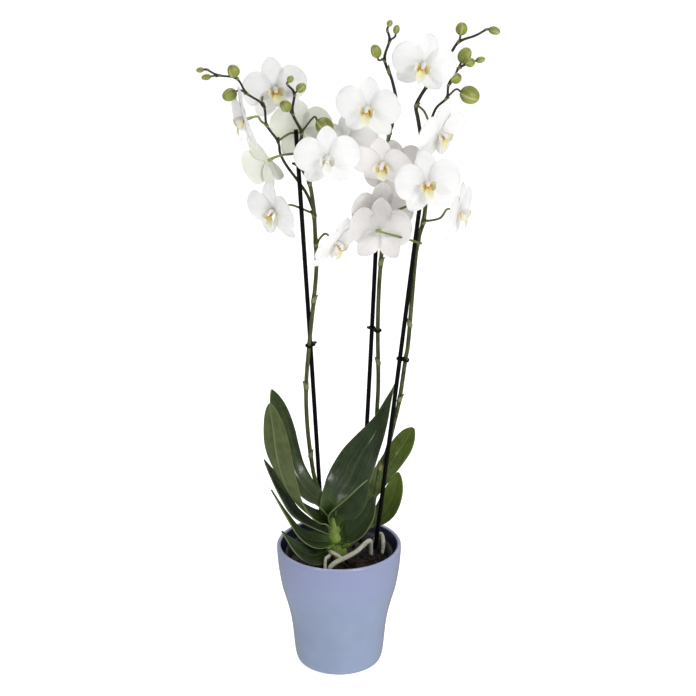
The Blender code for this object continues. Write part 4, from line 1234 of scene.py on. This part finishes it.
def make_spike(name, stems):
    """A spike's stems, then its scales, then its buds with their stalks."""
    stalks = [paint(make_stem(stem), STEM) for stem in stems]
    settle(join(stalks), f"{name}_stem", None, [name])
    scales = join(node_scales(stems))
    round_off(scales, 60)
    settle(scales, f"{name}_scales")
    pieces = []
    for stem, *bud in BUDS:
        if stem in stems:
            pieces += make_bud(stem, *bud)
    settle(join(pieces), f"{name}_buds")


# ---------------------------------------------------------------- flowers


def tepal(chance, angle, length, width, lift, curl, forward, broad):
    """One petal (broad) or sepal in the flower's own frame: x right, y up, z out of the face.

    lift sets it before or behind its neighbours, curl bends its tip back, and forward folds it to
    the front, in degrees.
    """
    lean = math.radians(angle + chance.uniform(-3, 3))
    way = Vector((math.cos(lean), math.sin(lean), 0.0))
    out = Vector((0.0, 0.0, 1.0))
    tilt = math.radians(forward + chance.uniform(-3, 3))
    length *= chance.uniform(0.97, 1.02)
    wave, weight, cup = chance.uniform(0, 6), chance.uniform(0.5, 1.0), chance.uniform(0.6, 1.4)
    root = 0.0012

    def spine(t):
        reach = root + (length - root) * t
        bow = lift * min(1.0, 4 * t) - curl * t * t + 0.0012 * cup * math.sin(math.pi * t)
        return way * (reach * math.cos(tilt)) + out * (bow + reach * math.sin(tilt))

    def half_width(t):
        swell = t ** (1.28 if broad else 1.05)
        claw = 0.0018 * (1 - t) ** 3
        shape = (4 * swell * (1 - swell)) ** (0.56 if broad else 0.62)
        return max(0.0002, width / 2 * shape * soft_step(-0.12, 0.20, t) + claw)

    def rise(side, t):
        crown = -0.0016 * cup * side * side * math.sin(math.pi * t)
        ruffle = 0.0011 * weight * abs(side) ** 3 * math.sin(wave + 7 * t + 3.0 * side)
        ruffle *= soft_step(0.2, 0.6, t)
        crease = -0.00035 * math.exp(-(side / 0.08) ** 2) * math.sin(math.pi * t)
        if not broad:
            crown = -crown * 0.6
        return crown + ruffle + crease

    petal = blade(spine, lambda t: out, half_width, rise, 18, 24, even_ends)
    thicken(petal, PETAL_THICKNESS)
    return petal


def make_tepals(number, forward):
    """Three sepals behind and two broad petals in front."""
    chance = random.Random(300 + number)
    sepals = [(90, 0.0020), (-52, 0.0032), (-128, 0.0032)]
    pieces = [tepal(chance, angle, SEPAL_LENGTH, SEPAL_WIDTH, -0.0014, curl, forward * 0.6, False)
              for angle, curl in sepals]
    pieces += [tepal(chance, angle, PETAL_LENGTH, PETAL_WIDTH, 0.0010, 0.0014, forward, True)
               for angle in (13, 167)]
    petals = join(pieces)
    round_off(petals, 75)
    return petals


def lip_lobe(points, face, half_width, rise, across=12, along=20):
    """The tongue or a side lobe of the lip."""
    route = smooth(points, 6)
    lobe = blade(
        lambda t: at_fraction(route, t), lambda t: Vector(face).normalized(), half_width, rise,
        across, along, even_ends,
    )
    thicken(lobe, LIP_THICKNESS)
    return paint(lobe, LIP)


def bead(middle, size, finish):
    """A small oval lump; size is half of its width, depth and height."""
    bpy.ops.mesh.primitive_uv_sphere_add(
        segments=18, ring_count=12, radius=1.0, location=middle, calc_uvs=True,
    )
    lump = bpy.context.object
    lump.scale = size
    pick(lump)
    bpy.ops.object.transform_apply(location=True, rotation=True, scale=True)
    return paint(lump, finish)


def make_lip():
    """The lip and the column: a keeled tongue with two threads, two upright lobes and the callus."""

    def tongue_width(t):
        """Narrow at its root, spread like an arrowhead past the middle and drawn to a point."""
        spread = 0.0017 + 0.0033 * soft_step(0.12, 0.50, t)
        return max(0.00025, spread * (1 - soft_step(0.52, 1.0, t)) ** 0.8)

    pieces = [lip_lobe(
        [(0, -0.0012, 0.0020), (0, -0.0045, 0.0066), (0, -0.0095, 0.0100), (0, -0.0150, 0.0108),
         (0, -0.0185, 0.0090)], (0, 0.6, 0.8), tongue_width,
        lambda side, t: 0.0012 * abs(side) ** 1.5 * math.sin(math.pi * min(1.0, 0.2 + t)), 14, 26,
    )]
    for hand in (1, -1):
        pieces.append(lip_lobe(
            [(0.0010 * hand, -0.0020, 0.0024), (0.0044 * hand, -0.0034, 0.0052),
             (0.0078 * hand, -0.0016, 0.0078), (0.0088 * hand, 0.0026, 0.0106)],
            (-0.9 * hand, 0.25, 0.45),
            lambda t: max(0.0003, 0.0050 * math.sin(math.pi * min(1.0, 0.10 + 0.86 * t)) ** 0.65),
            lambda side, t: 0.0013 * side * side,
        ))
        thread = smooth([(0.0003 * hand, -0.0180, 0.0093), (0.0016 * hand, -0.0200, 0.0090),
                         (0.0030 * hand, -0.0196, 0.0110), (0.0026 * hand, -0.0180, 0.0124)], 5)
        thinner = [0.00032 - 0.00001 * index for index in range(len(thread))]
        pieces.append(paint(rolled(thread, thinner, 6), COLUMN))
        pieces.append(bead((0.0012 * hand, -0.0030, 0.0072), (0.0011, 0.0015, 0.0017), CALLUS))
    column = smooth([(0, 0.0002, -0.0005), (0, 0.0016, 0.0035), (0, 0.0022, 0.0070),
                     (0, 0.0008, 0.0098)], 6)
    girth = [at_fraction([0.0024, 0.0021, 0.0024, 0.0027, 0.0021], index / (len(column) - 1))
             for index in range(len(column))]
    pieces.append(paint(rolled(column, girth, 16), COLUMN))
    pieces.append(bead((0, 0.0004, 0.0100), (0.0021, 0.0018, 0.0016), COLUMN))
    pieces.append(bead((0, 0.0, 0.0006), (0.0032, 0.0032, 0.0016), COLUMN))
    lip = join(pieces)
    round_off(lip, 70)
    return lip


def facing(right_of_front, up, lean):
    """The turn that points a flower's face: degrees to the right, up, and leaning to the right."""
    turn, rise, roll = (math.radians(angle) for angle in (right_of_front, up, lean))
    out = Vector((math.sin(turn) * math.cos(rise), -math.cos(turn) * math.cos(rise), math.sin(rise)))
    right = Vector((0, 0, 1)).cross(out).normalized()
    turned_frame = Matrix((right, out.cross(right), out)).transposed()
    return turned_frame @ Matrix.Rotation(-roll, 3, "Z")


def make_flower(number, lip_model, stem, height, bends, middle, look, forward, finish):
    """An open flower: its petals, a copy of the lip and the stalk from its node."""
    name = f"flower_{number:02d}"
    turn = facing(*look)
    middle = Vector(middle)
    place = Matrix.Translation(middle) @ turn.to_4x4()
    petals = make_tepals(number, forward)
    petals.data.transform(place)
    settle(petals, f"{name}_petals", [PETALS[finish]], [name])
    lip = lip_model.copy()
    lip.data = lip_model.data.copy()
    bpy.context.scene.collection.objects.link(lip)
    lip.data.transform(place)
    # Flower 06's lip takes the pale copy: a painted highlight.
    if number == HIGHLIGHTED_FLOWER:
        for slot in lip.material_slots:
            slot.material = HIGHLIGHTED_LIP
    settle(lip, f"{name}_lip")
    out = turn.col[2]
    node = at_height(STEM_ROUTES[stem], height)
    behind = [middle - out * 0.012, middle - out * 0.0005]
    route = smooth([node] + [Vector(bend) for bend in bends] + behind, 7)
    last = len(route) - 1
    radii = [0.00125 + 0.0007 * soft_step(0.70, 1.0, index / last) for index in range(last + 1)]
    settle(rolled(route, radii, 14), f"{name}_stalk", [FLOWER_STALK])


# ---------------------------------------------------------------- the whole

make_cover_pot()
make_clear_pot()
make_bark_bed()
make_bark_chips()
make_crown()
for stake_name in STAKES:
    make_stake(stake_name)
for clip in CLIPS:
    make_clip(*clip)
for number, leaf in enumerate(LEAVES, 1):
    make_leaf(number, *leaf)
for number, root in enumerate(ROOTS, 1):
    make_root(number, *root)
for spike_name, spike_stems in SPIKES.items():
    make_spike(spike_name, spike_stems)

flower_lip = make_lip()
for number, flower in enumerate(FLOWERS, 1):
    make_flower(number, flower_lip, *flower)
bpy.data.objects.remove(flower_lip, do_unlink=True)

# ---------------------------------------------------------------- floor, light and camera


def make_floor():
    """A wide pale floor that glows a little and isn't seen in the glossy finishes."""
    floor = Finish("pale_floor", Specular_IOR_Level=0.1, Emission_Strength=FLOOR_GLOW)
    floor.shader.inputs["Emission Color"].default_value = (1.0, 1.0, 1.0, 1.0)
    tone = floor.noise(floor.place(), 3.0, 2.0, 0.5)
    floor.set(Base_Color=floor.mix(tone, (0.90, 0.90, 0.90), (0.93, 0.93, 0.93)))
    floor.set(Roughness=0.85 + 0.1 * tone)
    bpy.ops.mesh.primitive_plane_add(size=FLOOR_SIZE, location=(0, 2.0, -0.0002))
    plane = bpy.context.object
    pick(plane)
    bpy.ops.object.transform_apply(location=True)
    plane.name = "floor"
    plane.data.materials.append(floor.material)
    plane.visible_glossy = False


def make_lamp(name, place, target, size, power):
    """A soft square lamp that looks at a point."""
    lamp = bpy.data.lights.new(name, "AREA")
    lamp.shape = "SQUARE"
    lamp.size = size
    lamp.energy = power
    holder = bpy.data.objects.new(name, lamp)
    bpy.context.scene.collection.objects.link(holder)
    holder.location = place
    holder.rotation_euler = (Vector(target) - Vector(place)).to_track_quat("-Z", "Y").to_euler()


def make_studio():
    """An even pale sky and the lamps."""
    world = bpy.data.worlds.new("studio")
    bpy.context.scene.world = world
    world.use_nodes = True
    sky = world.node_tree.nodes["Background"]
    sky.inputs["Color"].default_value = (1.0, 1.0, 1.0, 1.0)
    sky.inputs["Strength"].default_value = SKY_STRENGTH
    for lamp in LAMPS:
        make_lamp(*lamp)


def make_camera():
    camera = bpy.data.cameras.new("camera")
    camera.sensor_width = 36.0
    camera.lens = CAMERA_LENS
    camera.clip_end = 50.0
    holder = bpy.data.objects.new("camera", camera)
    bpy.context.scene.collection.objects.link(holder)
    holder.location = CAMERA_PLACE
    holder.rotation_euler = (math.radians(90 - CAMERA_DOWN), 0.0, 0.0)
    bpy.context.scene.camera = holder


make_floor()
make_studio()
make_camera()
bpy.context.scene.view_settings.view_transform = "Standard"
